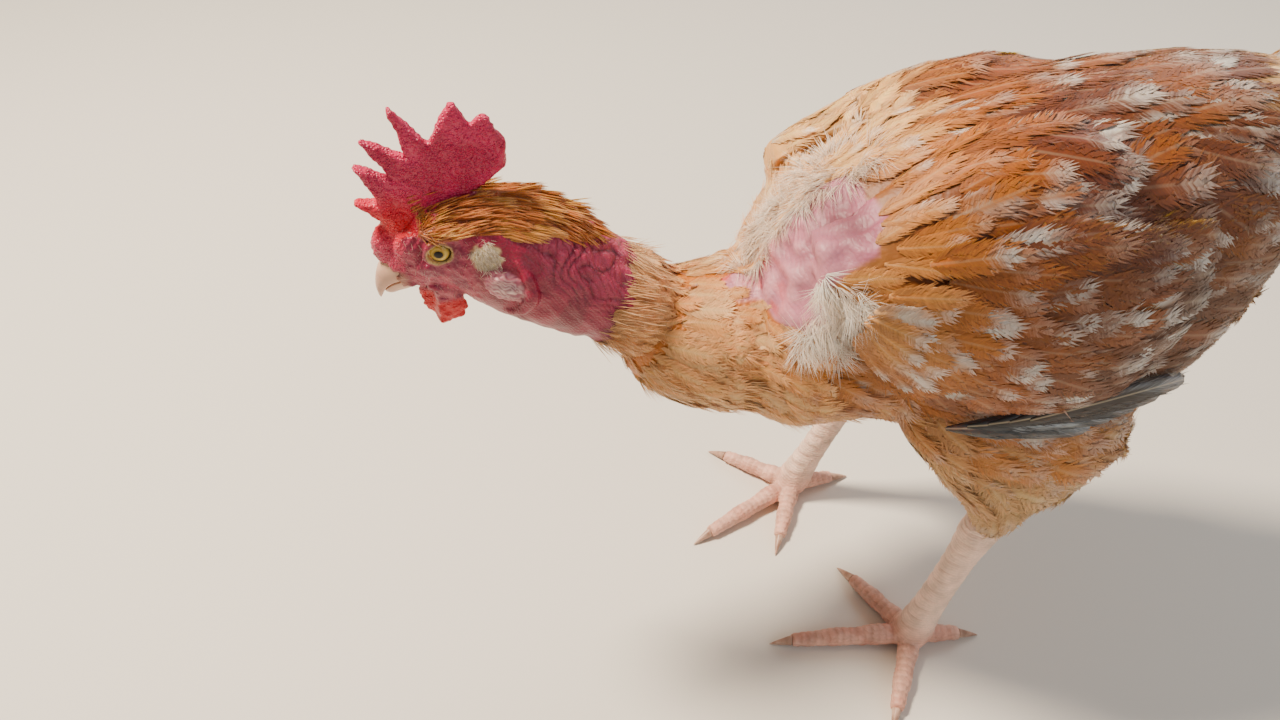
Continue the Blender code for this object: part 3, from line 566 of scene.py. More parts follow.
def bareReach(points):
    # Millimetres inside the edge of the naked skin between the tuft and the shoulders
    x, y, z = points.T
    aside = abs(x - 25)
    return np.min([-35.5 - y - 0.35 * np.clip(aside - 12, 0, 40), 21.5 - aside,
                   z - 205 - 0.10 * (y + 60), y + 87 - 0.15 * aside], axis=0)


def bareZone(points):
    return smoothStep(-3.5, 3.5, bareReach(points))


# The body's skin: only the bare hollow over the crop shows, the rest lies under the coat

def makeBodySkin():
    shapes = [
        loftShape(torsoRings()),
        loftShape(spineRings(spineRows, 0, 2.6, 40, 64, body["tuftDepth"] * np.linspace(0.3, 1.0, 40))),
        loftShape(spineRings(spineRows, 0, 0.9, 14, 64, 0.5)),
        loftShape(spineRings(tailCore, 0, 3, 14, 40, 3.0)),
        loftShape(wingRings(1)),
        loftShape(wingRings(-1)),
    ]
    for leg in legs.values():
        shapes.append(loftShape(thighRings(leg, body["thighDepth"])))
    skin = fuseShapes("body_skin", shapes, body["voxel"], 8)
    points, normals = readPoints(skin.data), readNormals(skin.data)
    # the hollow between the shoulders, with long creases that run up from the tuft
    x, y, z = points.T
    bareShare = bareZone(points)
    dip = np.exp(-((y + 44) / 9) ** 2) * smoothStep(24, 8, abs(x - 27)) * smoothStep(205, 222, z) \
        * smoothStep(-30, -42, y)
    ridges = smoothStep(-1, 1, waves(points * (1.0, 0.35, 1.0), 9, 5))
    furrow = np.exp(-((abs(x) - 35) / 6) ** 2) * smoothStep(-46, -34, y) * smoothStep(74, 48, y) * (z > 232)
    points = points + normals * (bareShare * (0.9 * ridges + 0.5 * waves(points, 11, 6)) - 2.2 * dip
                                 - 4.0 * furrow)[:, None]
    writePoints(skin.data, points)
    streaks = smoothStep(-0.3, 0.8, waves(points * (1, 0.5, 2.2), 13, 9)) * smoothStep(-58, -72, y)
    bareTone = paintOver("AA6078", ("D89CA8", (0.25 + 0.4 * ridges) * smoothStep(-38, -60, y)))
    # painted shade: the hollow at the rear of the bare patch, under the overhanging feathers, is painted dark
    # mauve
    bareTone = paintOver(bareTone * (1 + 0.06 * waves(points, 14, 8))[:, None],
                         ("D23F30", 0.8 * streaks), ("7A4452", 0.9 * dip))
    # the skin under the coat takes the plumage tone, darkened as painted shade beneath the feathers, most of
    # all behind the bare hollow
    under = plumageTone(points) * (0.8 - 0.35 * smoothStep(-60, -40, y))[:, None]
    skinTones = blendTones(under, bareTone, smoothStep(0.04, 0.32, bareShare))
    addTone(skin.data, "skinTone", skinTones)
    addValue(skin.data, "grain", 0.15 + 0.5 * smoothStep(-62, -74, y))
    addValue(skin.data, "creasePhase", (0.80 * z + 0.45 * y + 0.25 * abs(x)) * math.pi / 1.7)
    addValue(skin.data, "creaseDepth", 0.13 * bareShare)
    addVector(skin.data, "facing", readNormals(skin.data))
    skin.data.materials.append(makeSkinMaterial("thin_wrinkled_skin", 0.5, 520.0, 0.12))
    skin.data.shade_smooth()
    print("body skin:", len(skin.data.polygons), "faces")
    return skin


# Head, neck, comb, wattles and earlobes are one bare skin

head = {
    "voxel": 0.62, "ear": (18.5, -172.0, 230.6), "lobe": (19.6, -165.4, 218.8), "combThick": 5.0,
    "combTips": ((-218, 246), (-216.5, 261), (-212.5, 271), (-201.5, 283), (-179.5, 284), (-169.5, 279)),
    "combNotches": ((-208.5, 245.5), (-202.5, 255), (-197, 263), (-189, 268), (-174.2, 274.4)),
    "combBack": ((-162.5, 268), (-163, 258), (-172, 251), (-184, 243)),
    "combFoot": ((-190, 226), (-200, 219), (-208, 222), (-212.5, 228), (-208, 237)),
    "lobeFold": ((18.6, -161, 229), (21.0, -156.6, 221), (21.4, -157, 212.5), (19.0, -162, 206.5),
                 (14.0, -168, 204.5)),
    "lobeFoldRadii": (1.2, 2.4, 2.8, 2.2, 1.2),
}


def combOutline():
    row = []
    tips, notches = head["combTips"], head["combNotches"]
    for k, tip in enumerate(tips):
        tip = np.array(tip, float)
        before = np.array(notches[k - 1] if k else head["combFoot"][-1], float)
        after = np.array(notches[k] if k < len(notches) else head["combBack"][0], float)
        blunt = 1.1 if k < 4 else 1.8
        row += [tip + unit(before - tip) * blunt, tip + unit(after - tip) * blunt]
        if k < len(notches):
            row.append(after)
    return row + [np.array(p, float) for p in head["combBack"] + head["combFoot"]]


def combShape():
    curve = bpy.data.curves.new("comb_outline", "CURVE")
    curve.dimensions = "2D"
    curve.fill_mode = "BOTH"
    curve.extrude = head["combThick"] / 2 - 1.4
    curve.bevel_depth = 1.4
    curve.bevel_resolution = 3
    curve.offset = -1.3
    spline = curve.splines.new("POLY")
    row = combOutline()
    spline.points.add(len(row) - 1)
    for point, (y, z) in zip(spline.points, row):
        point.co = (y, z, 0, 1)
    spline.use_cyclic_u = True
    guide = bpy.data.objects.new("comb_outline", curve)
    bpy.context.scene.collection.objects.link(guide)
    bpy.context.view_layer.update()
    mesh = bpy.data.meshes.new_from_object(guide.evaluated_get(bpy.context.evaluated_depsgraph_get()))
    bpy.data.objects.remove(guide, do_unlink=True)
    faceOutwards(mesh)
    points = np.empty(len(mesh.vertices) * 3)
    mesh.vertices.foreach_get("co", points)
    points = points.reshape(-1, 3)[:, (2, 0, 1)]
    # thick at its foot, thin towards the tips
    high = np.clip((points[:, 2] - 232) / 50, 0, 1)
    points[:, 0] *= 1.45 - 0.75 * high
    faces = [tuple(face.vertices) for face in mesh.polygons]
    bpy.data.meshes.remove(mesh)
    return points, faces


def turnAbout(axis, degrees):
    return np.array(Matrix.Rotation(math.radians(degrees), 3, axis))


def lidShape(side):
    angles = np.linspace(0, math.tau, 40, endpoint=False)
    path = np.stack([0 * angles, 5.3 * np.cos(angles), 4.7 * np.sin(angles)], 1)
    small = np.linspace(0, math.tau, 12, endpoint=False)
    out = unit(path)
    rings = path[:, None] + 1.25 * (np.cos(small)[None, :, None] * out[:, None]
                                    + np.sin(small)[None, :, None] * np.array([1.0, 0, 0]))
    points = rings.reshape(-1, 3) @ turnAbout("Z", 14).T
    points = points + (3.4, 0, 0)
    points[:, 0] *= side
    faces = []
    for r in range(40):
        for k in range(12):
            a, b = r * 12, (r + 1) % 40 * 12
            faces.append((a + k, a + (k + 1) % 12, b + (k + 1) % 12, b + k))
    return points + np.array(eye["place"]) * (side, 1, 1), faces


def makeHeadSkin():
    # the neck sinks under the tuft, so that the coat runs on without a step
    runs = np.linspace(2.2, 11, 150)
    sunk = body["tuftDepth"] * smoothStep(3.4, 2.6, runs) + 2.5 * smoothStep(2.75, 2.2, runs)
    shapes = [loftShape(spineRings(spineRows, 2.2, 11, 150, 96, sunk)), combShape(),
              ballShape((0, -208, 227), (5.6, 6.2, 8.4)), ballShape((0, -203, 236), (5.4, 6.5, 9))]
    for side in (1, -1):
        def sided(point):
            return np.array(point, float) * (side, 1, 1)
        centre = np.array(eye["place"])
        shapes.append(lidShape(side))
        shapes.append(ballShape(sided(centre + (0.6, 2.5, 6.2)), (4.4, 10, 3.2), turnAbout("X", -8)))
        shapes.append(ballShape(sided(centre + (-0.4, -1, -7.6)), (4.6, 10, 5.2)))
        shapes.append(ballShape(sided(centre + (0.2, 8.6, -1.0)), (5.2, 5.5, 6.5)))
        shapes.append(ballShape(sided(centre + (-3.6, -10, -2.0)), (4.6, 7, 7)))
        shapes.append(ballShape(sided(np.array(head["ear"]) - (3.6, 0, 0)), (3.2, 6.4, 6.0)))
        shapes.append(ballShape(sided(head["lobe"]), (3.0, 9.0, 5.5), turnAbout("X", -32)))
        # the folded edge of skin that wraps the earlobe from behind
        shapes.append(tubeShape([sided(p) for p in head["lobeFold"]], head["lobeFoldRadii"]))
        shapes.append(ballShape(sided((7.6, -191.0, 205.0)), (2.4, 8.4, 9.0), turnAbout("Y", side * 12)))
        shapes.append(ballShape(sided((7.6, -192.0, 200.6)), (2.0, 6.6, 7.0), turnAbout("X", 14)))
        shapes.append(ballShape(sided((7.6, -186.8, 202.0)), (2.0, 5.6, 6.6), turnAbout("X", -10)))
    skin = fuseShapes("head_skin", shapes, head["voxel"], 3)
    mesh = skin.data
    points, normals = readPoints(mesh), readNormals(mesh)
    x, y, z = points.T
    side = np.sign(x)
    ear = np.array(head["ear"])
    lobe = np.array(head["lobe"])
    centre = np.array(eye["place"])
    apart = points * np.stack([side, 1 + 0 * x, 1 + 0 * x], 1)
    earNear = np.linalg.norm((apart - ear) / (6.5, 6.4, 6.2), axis=1)
    lobeAway = (apart - lobe) @ turnAbout("X", -32)
    lobeNear = np.linalg.norm(lobeAway / (5.0, 9.8, 6.0), axis=1)
    eyeAway = apart - centre
    eyeNear = np.hypot(eyeAway[:, 1] / 3.9, eyeAway[:, 2] / 3.5)
    combLine = 243 + 0.55 * np.clip(y + 186, -40, 30) * (y > -186) + 1.1 * np.clip(y + 186, -40, 0)
    isComb = smoothStep(-2, 3, z - combLine) * (abs(x) < 9) * (y < -158)
    isComb = np.maximum(isComb, smoothStep(-200, -204, y) * smoothStep(217, 222, z))
    isWattle = smoothStep(208, 204, z) * smoothStep(-178, -182, y) * smoothStep(3.2, 4.6, abs(x))
    isLobe = smoothStep(1.08, 0.92, lobeNear)
    isEar = smoothStep(1.05, 0.72, earNear + 0.06 * waves(points, 3, 33))
    plain = np.clip(1 - isComb - isWattle - isLobe, 0, 1)
    # the loose neck: slanted rings of skin, deeper towards the nape, where the tone below adds a painted
    # highlight on the fold tops
    neckShare = smoothStep(-176, -160, y) * plain * (1 - isEar)
    line = np.interp(y, [r[0] for r in reversed(spineRows)], [r[1] for r in reversed(spineRows)])
    angle = np.arctan2(z - line, x)
    run = y + 0.60 * z + 3.4 * waves(points, 18, 21) + 4 * np.sin(angle * 2 + 1)
    ridge = 1 - np.abs(np.sin(run * math.pi / 6.2)) ** 0.6
    nape = smoothStep(-0.2, 0.9, np.sin(angle)) * smoothStep(-160, -146, y)
    rise = neckShare * (-(0.12 + 0.62 * nape) * ridge + 0.22 * waves(points, 6, 23))
    # the face: fine creases round the eye and cheek
    faceShare = smoothStep(-172, -178, y) * plain * (1 - isEar)
    creases = np.sin(eyeNear * 7 + 0.8 * waves(points, 7, 24))
    rise += faceShare * (0.16 * creases * smoothStep(2.6, 1.2, eyeNear) + 0.18 * waves(points, 3.2, 25))
    # earlobe: soft wrinkles along it
    lobeFolds = np.sin(lobeAway[:, 2] * math.tau / 1.35 + 2.6 * waves(points, 3.6, 26))
    rise += isLobe * (0.20 * lobeFolds + 0.26 * waves(points, 3, 34))
    # comb: pearly papillae
    rise += isComb * (0.12 * waves(points, 2.2, 27) + 0.22 * waves(points, 7, 28))
    rise += isWattle * (0.25 * waves(points, 3.4, 29))
    # the line of the mouth runs from the beak to below the eye, with a lip on both sides
    mouthY = np.array([-212.0, -205.0, -198.0, -191.5])
    mouthZ = np.interp(-y, -mouthY[::-1], np.array([208.0, 211.4, 211.8, 210.6])[::-1])
    mouth = smoothStep(-190.6, -192.5, y) * smoothStep(3.0, 4.5, abs(x)) * (z < 217) * (z > 205)
    rise += mouth * (0.35 * np.exp(-((abs(z - mouthZ) - 1.7) / 0.9) ** 2)
                     - 1.1 * np.exp(-((z - mouthZ) / 0.65) ** 2))
    points = points + normals * rise[:, None]
    # the lower jaw gives way to the horn, and the nostril lies in brownish skin over the beak
    jaw = smoothStep(-191.5, -195, y) * smoothStep(0.5, -1.5, z - mouthZ)
    points[:, 0] *= 1 - 0.5 * jaw
    points[:, 2] += 2.2 * jaw
    nostril = np.exp(-((y + 206) / 1.9) ** 2 - ((z - 218.3 - 0.3 * (y + 206)) / 0.9) ** 2) * (abs(x) > 4)
    points[:, 0] -= side * 1.5 * nostril
    # the eye's opening between the lids
    hollow = smoothStep(1.06, 0.92, eyeNear) * (abs(x) > 6) * (abs(eyeAway[:, 1]) < 8)
    points[:, 0] -= side * hollow * 4.2
    points[:, 0] += side * 0.45 * np.exp(-((eyeNear - 1.2) / 0.14) ** 2) * (abs(x) > 8) * (eyeNear < 2)
    writePoints(mesh, points)

    faceTone = paintOver("A62C4C", ("8C2444", smoothStep(-0.6, 0.9, waves(points, 8, 32))))
    lobeTone = paintOver("E0BEB6", ("9C5464", 0.9 * smoothStep(0.6, -1.0, lobeFolds)),
                         ("B8506A", 0.85 * smoothStep(0.55, 0.98, lobeNear)))
    combTone = paintOver("CC2358", ("B81A4A", smoothStep(-0.8, 0.8, waves(points, 13, 31))),
                         ("DA1024", smoothStep(254, 238, z) * smoothStep(-190, -200, y)),
                         ("C22A52", smoothStep(238, 228, z)))
    paleCheek = smoothStep(-172, -182, y) * smoothStep(226, 214, z) \
        * smoothStep(0.0, 1.2, waves(points, 6, 30))
    cere = smoothStep(221, 217, z) * smoothStep(-200, -204, y) * smoothStep(212, 214, z)
    skinTones = paintOver(
        "92143A",
        # painted shade: the neck's creases are darker, more so towards the nape
        ("5E0E28", np.clip((0.25 + 0.45 * nape) * ridge, 0, 1)),
        ("5E0E28", 0.5 * smoothStep(-0.2, 1.2, waves(points * (1, 1, 0.6), 15, 35))),
        # painted highlight: pale pink on the fold tops at the nape
        ("CC4468", 0.6 * nape * (1 - ridge)),
        ("8A3A58", 0.7 * smoothStep(-150, -116, y) * smoothStep(206, 184, z)),
        (faceTone, smoothStep(-172, -180, y)),
        ("CC7076", 0.5 * paleCheek),
        ("7A2038", 0.55 * smoothStep(2.0, 1.45, eyeNear)),
        ("CDAF6A", np.exp(-((eyeNear - 1.13) / 0.12) ** 2) * (abs(x) > 8)),
        # painted shade: near black in the eye's opening round the eyeball
        ("2A1412", smoothStep(1.0, 0.9, eyeNear) * (abs(x) > 5)),
        ("DCC694", isEar),
        (lobeTone, isLobe),
        (combTone, isComb),
        ("CE0E16", isWattle),
        ("A8705A", 0.9 * cere),
        # painted shade: dark in the nostril's opening and along the groove of the mouth
        ("3C1A18", nostril),
        ("4A1622", 0.8 * mouth * np.exp(-((z - mouthZ) / 0.8) ** 2)),
        ("9A4E14", 0.85 * capZone(points) * plain),
        ("D09458", smoothStep(0.3, 1.0, ruffZone(points - (0, 3, 0)))),
    )
    addTone(mesh, "skinTone", skinTones)
    addValue(mesh, "grain", np.clip(0.30 + 0.7 * isComb - 0.25 * isLobe + 0.2 * isWattle, 0, 1.4))
    addValue(mesh, "creasePhase", (y + 0.60 * z + 3 * np.sin(angle * 2 + 1)) * math.pi / 1.9)
    addValue(mesh, "creaseDepth", neckShare * (0.16 + 0.34 * nape) + 0.10 * faceShare)
    addVector(mesh, "facing", readNormals(mesh))
    mesh.materials.append(makeSkinMaterial("bare_head_skin", 0.40, 1000.0, 0.14, 0.5))
    mesh.shade_smooth()
    print("head skin:", len(mesh.polygons), "faces")
    return skin


# Beak, eyes and claws stay pieces of their own

beak = {
    "root": (0, -205.5, 215.5), "slope": 27,
    "upper": ((-4, 0, 7.6, 8.6, 2.6), (0, 0, 7.4, 8.2, 2.4), (4, 0.4, 6.2, 7.2, 2.0), (8, 1.8, 4.6, 5.4, 2.0),
              (11.5, 4.2, 2.6, 3.2, 2.0), (13.4, 6.6, 0.7, 1.0, 1.0)),
    "lower": ((-12, 0.0, 8.4, 0.3, 4.8), (-4, 1.6, 7.6, 0.6, 6.4), (0, 1.8, 7.0, 0.6, 6.4),
              (4, 2.1, 5.8, 0.5, 5.6), (7.4, 3.2, 4.2, 0.4, 4.2), (9.8, 4.8, 1.4, 0.2, 1.8)),
}


def makeBeak():
    slope = math.radians(beak["slope"])
    ahead = np.array([0, -math.cos(slope), -math.sin(slope)])
    up = np.array([0, -math.sin(slope), math.cos(slope)])
    material = makeHornMaterial("beak_horn", ((0.3, "A87A66"), (0.5, "CFA388"), (0.7, "D9B692")), 70.0,
                                (1.0, 0.35, 1.0))
    for name in ("upper", "lower"):
        rows = smoothRows(beak[name], np.linspace(0, len(beak[name]) - 1, 40))
        middles = np.array(beak["root"]) + ahead * (rows[:, :1] + 0.3) - up * rows[:, 1:2]
        rings = ovalRings(middles, np.tile((1.0, 0, 0), (40, 1)), np.tile(up, (40, 1)),
                          np.maximum(rows[:, 2:], 0.15), 36, 2.2 if name == "upper" else 2.0)
        points, faces = loftShape(rings)
        piece = makeObject("beak_" + name + "_horn", toMetres(points), faces)
        faceOutwards(piece.data)
        soften = piece.modifiers.new("soften", "SUBSURF")
        soften.levels = soften.render_levels = 1
        finished(piece)
        piece.data.materials.append(material)
        piece.data.shade_smooth()
        rideAndReplace(piece, "horn", "beak_" + name)


def makeEyeMaterial():
    # Wet eye: olive yellow iris with a dark ring, a dark oval pupil and a clear coat
    material, tree, shader = newMaterial("wet_eye", 0.12, Coat_Weight=0.25, Coat_Roughness=0.02,
                                         Specular_IOR_Level=0.15)
    place = addNode(tree, "ShaderNodeUVMap", {"uv_map": "iris"})
    length = addNode(tree, "ShaderNodeVectorMath", {"operation": "LENGTH"}, i0=place.outputs["UV"])
    speck = noiseOf(tree, place.outputs["UV"], 9.0, 4.0)
    wobble = calcIn(tree)("MULTIPLY_ADD", speck, 0.12, length.outputs["Value"])
    tone = rampOf(tree, wobble, ((0.0, "0A0806"), (0.42, "0A0806"), (0.47, "92742A"),
                                 (0.62, "D6B85A"), (0.86, "B09038"), (0.98, "4A3A1C")))
    tree.links.new(tone, shader.inputs["Base Color"])
    return material


def makeEyes():
    material = makeEyeMaterial()
    for side, word in ((1, "left"), (-1, "right")):
        points, faces = ballShape((0, 0, 0), (eye["radius"],) * 3, segments=64, rows=40)
        centre = np.array(eye["place"]) * (side, 1, 1)
        points = points[:, (2, 0, 1)] * (side, 1, 1) + centre
        piece = makeObject("eyeball_" + word, toMetres(points), faces)
        faceOutwards(piece.data)
        local = readPoints(piece.data) - centre
        front = np.where(local[:, 0] * side > 0, 1.0, 3.0)
        uv = (local[:, 1:] + (0.4, -0.2)) / (4.3, 3.7) * front[:, None]
        piece.data.uv_layers.new(name="iris").data.foreach_set("uv", uv[readCorners(piece.data)].ravel())
        piece.data.materials.append(material)
        piece.data.shade_smooth()
        rideAndReplace(piece, "eye", "eye_" + word)


claw = {"length": 11.0, "radius": 3.264, "flat": 0.78}


def makeClaws():
    material = makeHornMaterial("claw_horn", ((0.3, "94705E"), (0.55, "BC9884"), (0.75, "D6BAA4")), 220.0,
                                (1, 1, 1))
    share = np.linspace(0, 1, 14)
    radius = claw["radius"] * (0.86 * (1 - share) ** 0.8 + 0.05)
    for word, leg in legs.items():
        for name, (turn, length) in leg["toes"].items():
            ahead, across = toeAxes(turn, leg["side"])
            middles = np.array(leg["foot"]) + ahead * (length + 0.3 + claw["length"] * share)[:, None] \
                + np.stack([0 * share, 0 * share, radius * 0.98], 1)
            points, faces = loftShape(roundRings(middles, radius, claw["flat"] * across, (0, 0, 1.0), 16))
            piece = makeObject("claw_" + name + "_" + word + "_horn", toMetres(points), faces)
            faceOutwards(piece.data)
            piece.data.materials.append(material)
            piece.data.shade_smooth()
            rideAndReplace(piece, "claw", "claw_" + name + "_" + word)


def toeAxes(turn, side):
    angle = math.radians(turn)
    ahead = np.array([side * math.sin(angle), -math.cos(angle), 0])
    return ahead, np.cross(ahead, (0, 0, 1))


# Bare legs: shank, toes and their scales

foot = {"voxel": 0.75, "stout": 1.16, "toeRadius": 5.7, "taper": 0.36, "scutes": 12, "scuteRise": 0.55,
        "toeScute": 3.6}


def makeLegSkin(word, leg):
    hock, base = np.array(leg["hock"], float), np.array(leg["foot"], float)
    top = hock + (0, 0, 9)
    axis = base + (0, 0, 9) - top
    shares = (0.0, 0.07, 0.15, 0.30, 0.50, 0.72, 0.88, 1.0)
    widths = ((6.4, 7.0, 6.4), (7.4, 8.6, 7.4), (7.0, 8.0, 7.0), (5.9, 7.2, 6.2), (5.6, 7.0, 6.0),
              (5.9, 7.2, 6.2), (7.0, 8.2, 7.2), (8.6, 9.0, 8.4))
    rows = [(*(top + axis * share), *size) for share, size in zip(shares, widths)]
    rows = [(*row[:3], *(foot["stout"] * size for size in row[3:])) for row in rows]
    shapes = [loftShape(levelRings(smoothRows(rows, np.linspace(0, 7, 50)), 32)),
              ballShape(base + (0, -1, 6.0), (9.4, 9.6, 5.9))]
    toes = []
    for name, (turn, length) in leg["toes"].items():
        ahead, across = toeAxes(turn, leg["side"])
        bones = 2 if name == "hind" else 3
        share = np.linspace(0, 1, 30)
        radius = foot["toeRadius"] * (1 - foot["taper"] * share) * (1 - 0.16 * smoothStep(0.86, 1.0, share)) \
            * (1 + 0.06 * np.cos(math.tau * share * bones))
        path = base + ahead * (length * share - 3 * (1 - share))[:, None] + np.stack(
            [0 * share, 0 * share, radius * 0.98], 1)
        shapes.append(loftShape(roundRings(path, radius, across, (0, 0, 1.0), 20)))
        toes.append((ahead, across))
    skin = fuseShapes("leg_skin_" + word, shapes, foot["voxel"], 5)
    points, normals = readPoints(skin.data), readNormals(skin.data)
    away = points - base
    # along the shank: broad scutes ahead, small scales behind
    share = np.clip(((points - top) @ axis) / (axis @ axis), 0, 1)
    shank = smoothStep(13, 17, points[:, 2])
    front = smoothStep(-0.2, 0.45, -normals[:, 1] - 0.25 * abs(normals[:, 0]))
    count = share * foot["scutes"] + 0.25 * np.abs(points[:, 0] - (top + axis * share[:, None])[:, 0]) / 6
    plate = plateOf(count, 0.75, 0.86)
    rise = shank * front * foot["scuteRise"] * (plate - 0.4)
    cells = np.abs(waves(points, 3.0, 41)) ** 0.6
    rise += shank * (1 - front) * 0.28 * (cells - 0.6)
    # along each toe: plates across the top, pads below
    flatAway = away[:, :2]
    best = np.full(len(points), 1e9)
    toeRise = np.zeros(len(points))
    groove = np.zeros(len(points))
    for ahead, across in toes:
        run = flatAway @ ahead[:2]
        off = np.abs(flatAway @ across[:2])
        far = np.where(run > 0, off, np.hypot(off, run))
        toePlate = plateOf(run / foot["toeScute"], 0.7, 0.84)
        closer = far < best
        best = np.where(closer, far, best)
        toeRise = np.where(closer, 0.34 * (toePlate - 0.4), toeRise)
        groove = np.where(closer, 1 - toePlate, groove)
    above = smoothStep(0.05, 0.5, normals[:, 2])
    toeShare = smoothStep(15, 11, points[:, 2]) * smoothStep(6, 10, np.linalg.norm(flatAway, axis=1))
    rise += toeShare * above * toeRise
    rise += toeShare * (1 - above) * 0.15 * waves(points, 2.2, 42)
    points = points + normals * rise[:, None]
    points[:, 2] = np.maximum(points[:, 2], 0.0)
    writePoints(skin.data, points)
    dark = np.clip(shank * front * smoothStep(0.35, 0.0, plate) + toeShare * above * groove, 0, 1)
    legTones = paintOver("E8B4A0", ("F0CFBC", smoothStep(8, 26, points[:, 2])), ("A87262", 0.34 * dark))
    legTones = paintOver(legTones * (1 + 0.07 * waves(points, 9, 43))[:, None],
                         ("C88470", 0.4 * smoothStep(0.2, 1.2, waves(points, 12, 44)) * (1 - shank)))
    addTone(skin.data, "skinTone", legTones)
    addValue(skin.data, "grain", 0.3 + 0 * share)
    addValue(skin.data, "creasePhase", points[:, 2] * math.pi / 1.6)
    addValue(skin.data, "creaseDepth", 0.25 + 0 * share)
    skin.data.materials.append(legMaterial)
    skin.data.shade_smooth()
    rideAndReplace(skin, "shank_skin", "shank_" + word, "foot_" + word)
    print("leg", word, len(skin.data.polygons), "faces")


def plateOf(count, full, fall):
    # The height of a plate along its run: it rises to full, and drops to the next from fall on
    saw = count % 1
    return np.minimum(saw / full, 1) - smoothStep(fall, 1.0, saw)


# Feathers

def stripShape(root, heading, away, length, width, curve, points, faces, uv, base,
               steps=((0, 1.0), (0.5, 0.75)), flat=0.5):
    # One closed barb with a three-sided section, tapered to a point; curve bends it towards away
    start = len(points)
    cross = np.cross(heading, away)
    for share, size in steps:
        middle = root + heading * (length * share) + away * (curve * length * share ** 2)
        for angle in (0.5, 2.6, 4.7):
            corner = cross * math.cos(angle) + away * (flat * math.sin(angle))
            points.append(middle + size * width * corner)
    points.append(root + heading * length + away * (curve * length))
    last = len(points) - 1
    for k in range(3):
        n = (k + 1) % 3
        for row in range(start, last - 3, 3):
            faces.append((row + k, row + n, row + 3 + n, row + 3 + k))
        faces.append((last - 3 + k, last - 3 + n, last))
    faces.append((start + 2, start + 1, start))
    for place in points[start:]:
        uv.append(base if base is not None else (0.5 + 0.9 * place[0], place[1]))


def featherShape(plan, seed):
    # A closed thin web one unit long along +Y and one unit wide, with loose barbs at its edges
    draw = np.random.default_rng(seed)
    rows = np.array(plan["outline"], float)
    places = 1 - (1 - np.linspace(0, 1, plan["stations"])) ** 1.4
    points, uv = [], []
    for k, v in enumerate(places):
        half = 0.5 * plan["web"] * np.interp(v, rows[:, 0], rows[:, 1])
        half *= 1 + 0.12 * draw.uniform(-1, 1) * (0 < k < len(places) - 1)
        thick = 0.0035 * (1.2 - v)
        for part, level in ((-1, 0), (-0.4, 1), (0.4, 1), (1, 0), (0.4, -1), (-0.4, -1)):
            x = part * half
            points.append((x, v + 0.10 * abs(x),
                           level * thick - plan["crown"] * (2 * x) ** 2 - plan["bend"] * v * v))
            uv.append((x + 0.5, v))
    faces = gridFaces(len(places), 6)
    for side in (-1, 1):
        for k in range(plan["barbs"]):
            v = plan["from"] + (1.0 - plan["from"]) * (k + draw.uniform(0.1, 0.9)) / plan["barbs"]
            edge = 0.5 * plan["web"] * np.interp(v, rows[:, 0], rows[:, 1]) * draw.uniform(0.3, 0.9)
            x = side * edge
            z = 0.006 - plan["crown"] * (2 * x) ** 2 - plan["bend"] * v * v
            slant = plan["slant"] * (1.15 - 0.75 * v) + plan["wild"] * draw.normal() * 0.3
            heading = unit(np.array([side * math.sin(slant), math.cos(slant) * 0.62,
                                     0.12 * plan["wild"] * draw.normal() - 0.03]))
            reach = plan["reach"] * draw.uniform(0.6, 1.15) * (1 - 0.45 * v * (1 - plan["wild"]))
            stripShape(np.array([x, v, z]), heading, np.array([0.0, 0.0, 1.0]), reach,
                       plan["fine"] * draw.uniform(0.7, 1.2), 0, points, faces, uv, None, ((0, 1.0),), 0.06)
    return np.array(points), faces, np.array(uv)


def plumeShape(blades, spread, seed, width, curl=0.25, lift=(-0.10, 0.45)):
    # A burst or lock of fine tapered barbs from one root
    draw = np.random.default_rng(seed)
    points, faces, uv = [], [], []
    for b in range(blades):
        yaw = spread * (b / (blades - 1) - 0.5) * 2 + draw.uniform(-0.12, 0.12)
        pitch = draw.uniform(*lift)
        heading = unit(np.array([math.sin(yaw), math.cos(yaw), math.sin(pitch)]))
        away = unit(np.array([draw.uniform(-1, 1) * curl, 0, -curl]))
        stripShape(np.array([0.04 * yaw, 0, 0]), heading, away, draw.uniform(0.7, 1.0), width, curl,
                   points, faces, uv, (0.5 + 0.3 * (b / blades - 0.5), 0.6 + 0.3 * draw.uniform()))
    return np.array(points), faces, np.array(uv)


roundOutline = ((0, 0.16), (0.12, 0.45), (0.35, 0.85), (0.62, 1.0), (0.80, 0.88), (0.92, 0.58), (1, 0.10))
longOutline = ((0, 0.16), (0.10, 0.50), (0.30, 0.86), (0.70, 1.0), (0.90, 0.86), (0.97, 0.58), (1, 0.24))
slimOutline = ((0, 0.34), (0.25, 0.85), (0.55, 1.0), (0.85, 0.6), (1, 0.14))
featherPlans = {
    "contour": {"outline": roundOutline, "stations": 7, "web": 0.56, "crown": 0.04, "bend": 0.01, "barbs": 48,
                "from": 0.04, "slant": 0.62, "wild": 0.18, "reach": 0.29, "fine": 0.036},
    "loose": {"outline": roundOutline, "stations": 5, "web": 0.36, "crown": 0.04, "bend": 0.01, "barbs": 48,
              "from": 0.02, "slant": 0.56, "wild": 0.40, "reach": 0.38, "fine": 0.030},
    "quill": {"outline": longOutline, "stations": 9, "web": 0.84, "crown": 0.04, "bend": 0.08, "barbs": 24,
              "from": 0.25, "slant": 0.60, "wild": 0.3, "reach": 0.12, "fine": 0.02},
    "strand": {"outline": slimOutline, "stations": 4, "web": 1.0, "crown": 0.02, "bend": 0.06, "barbs": 0},
}


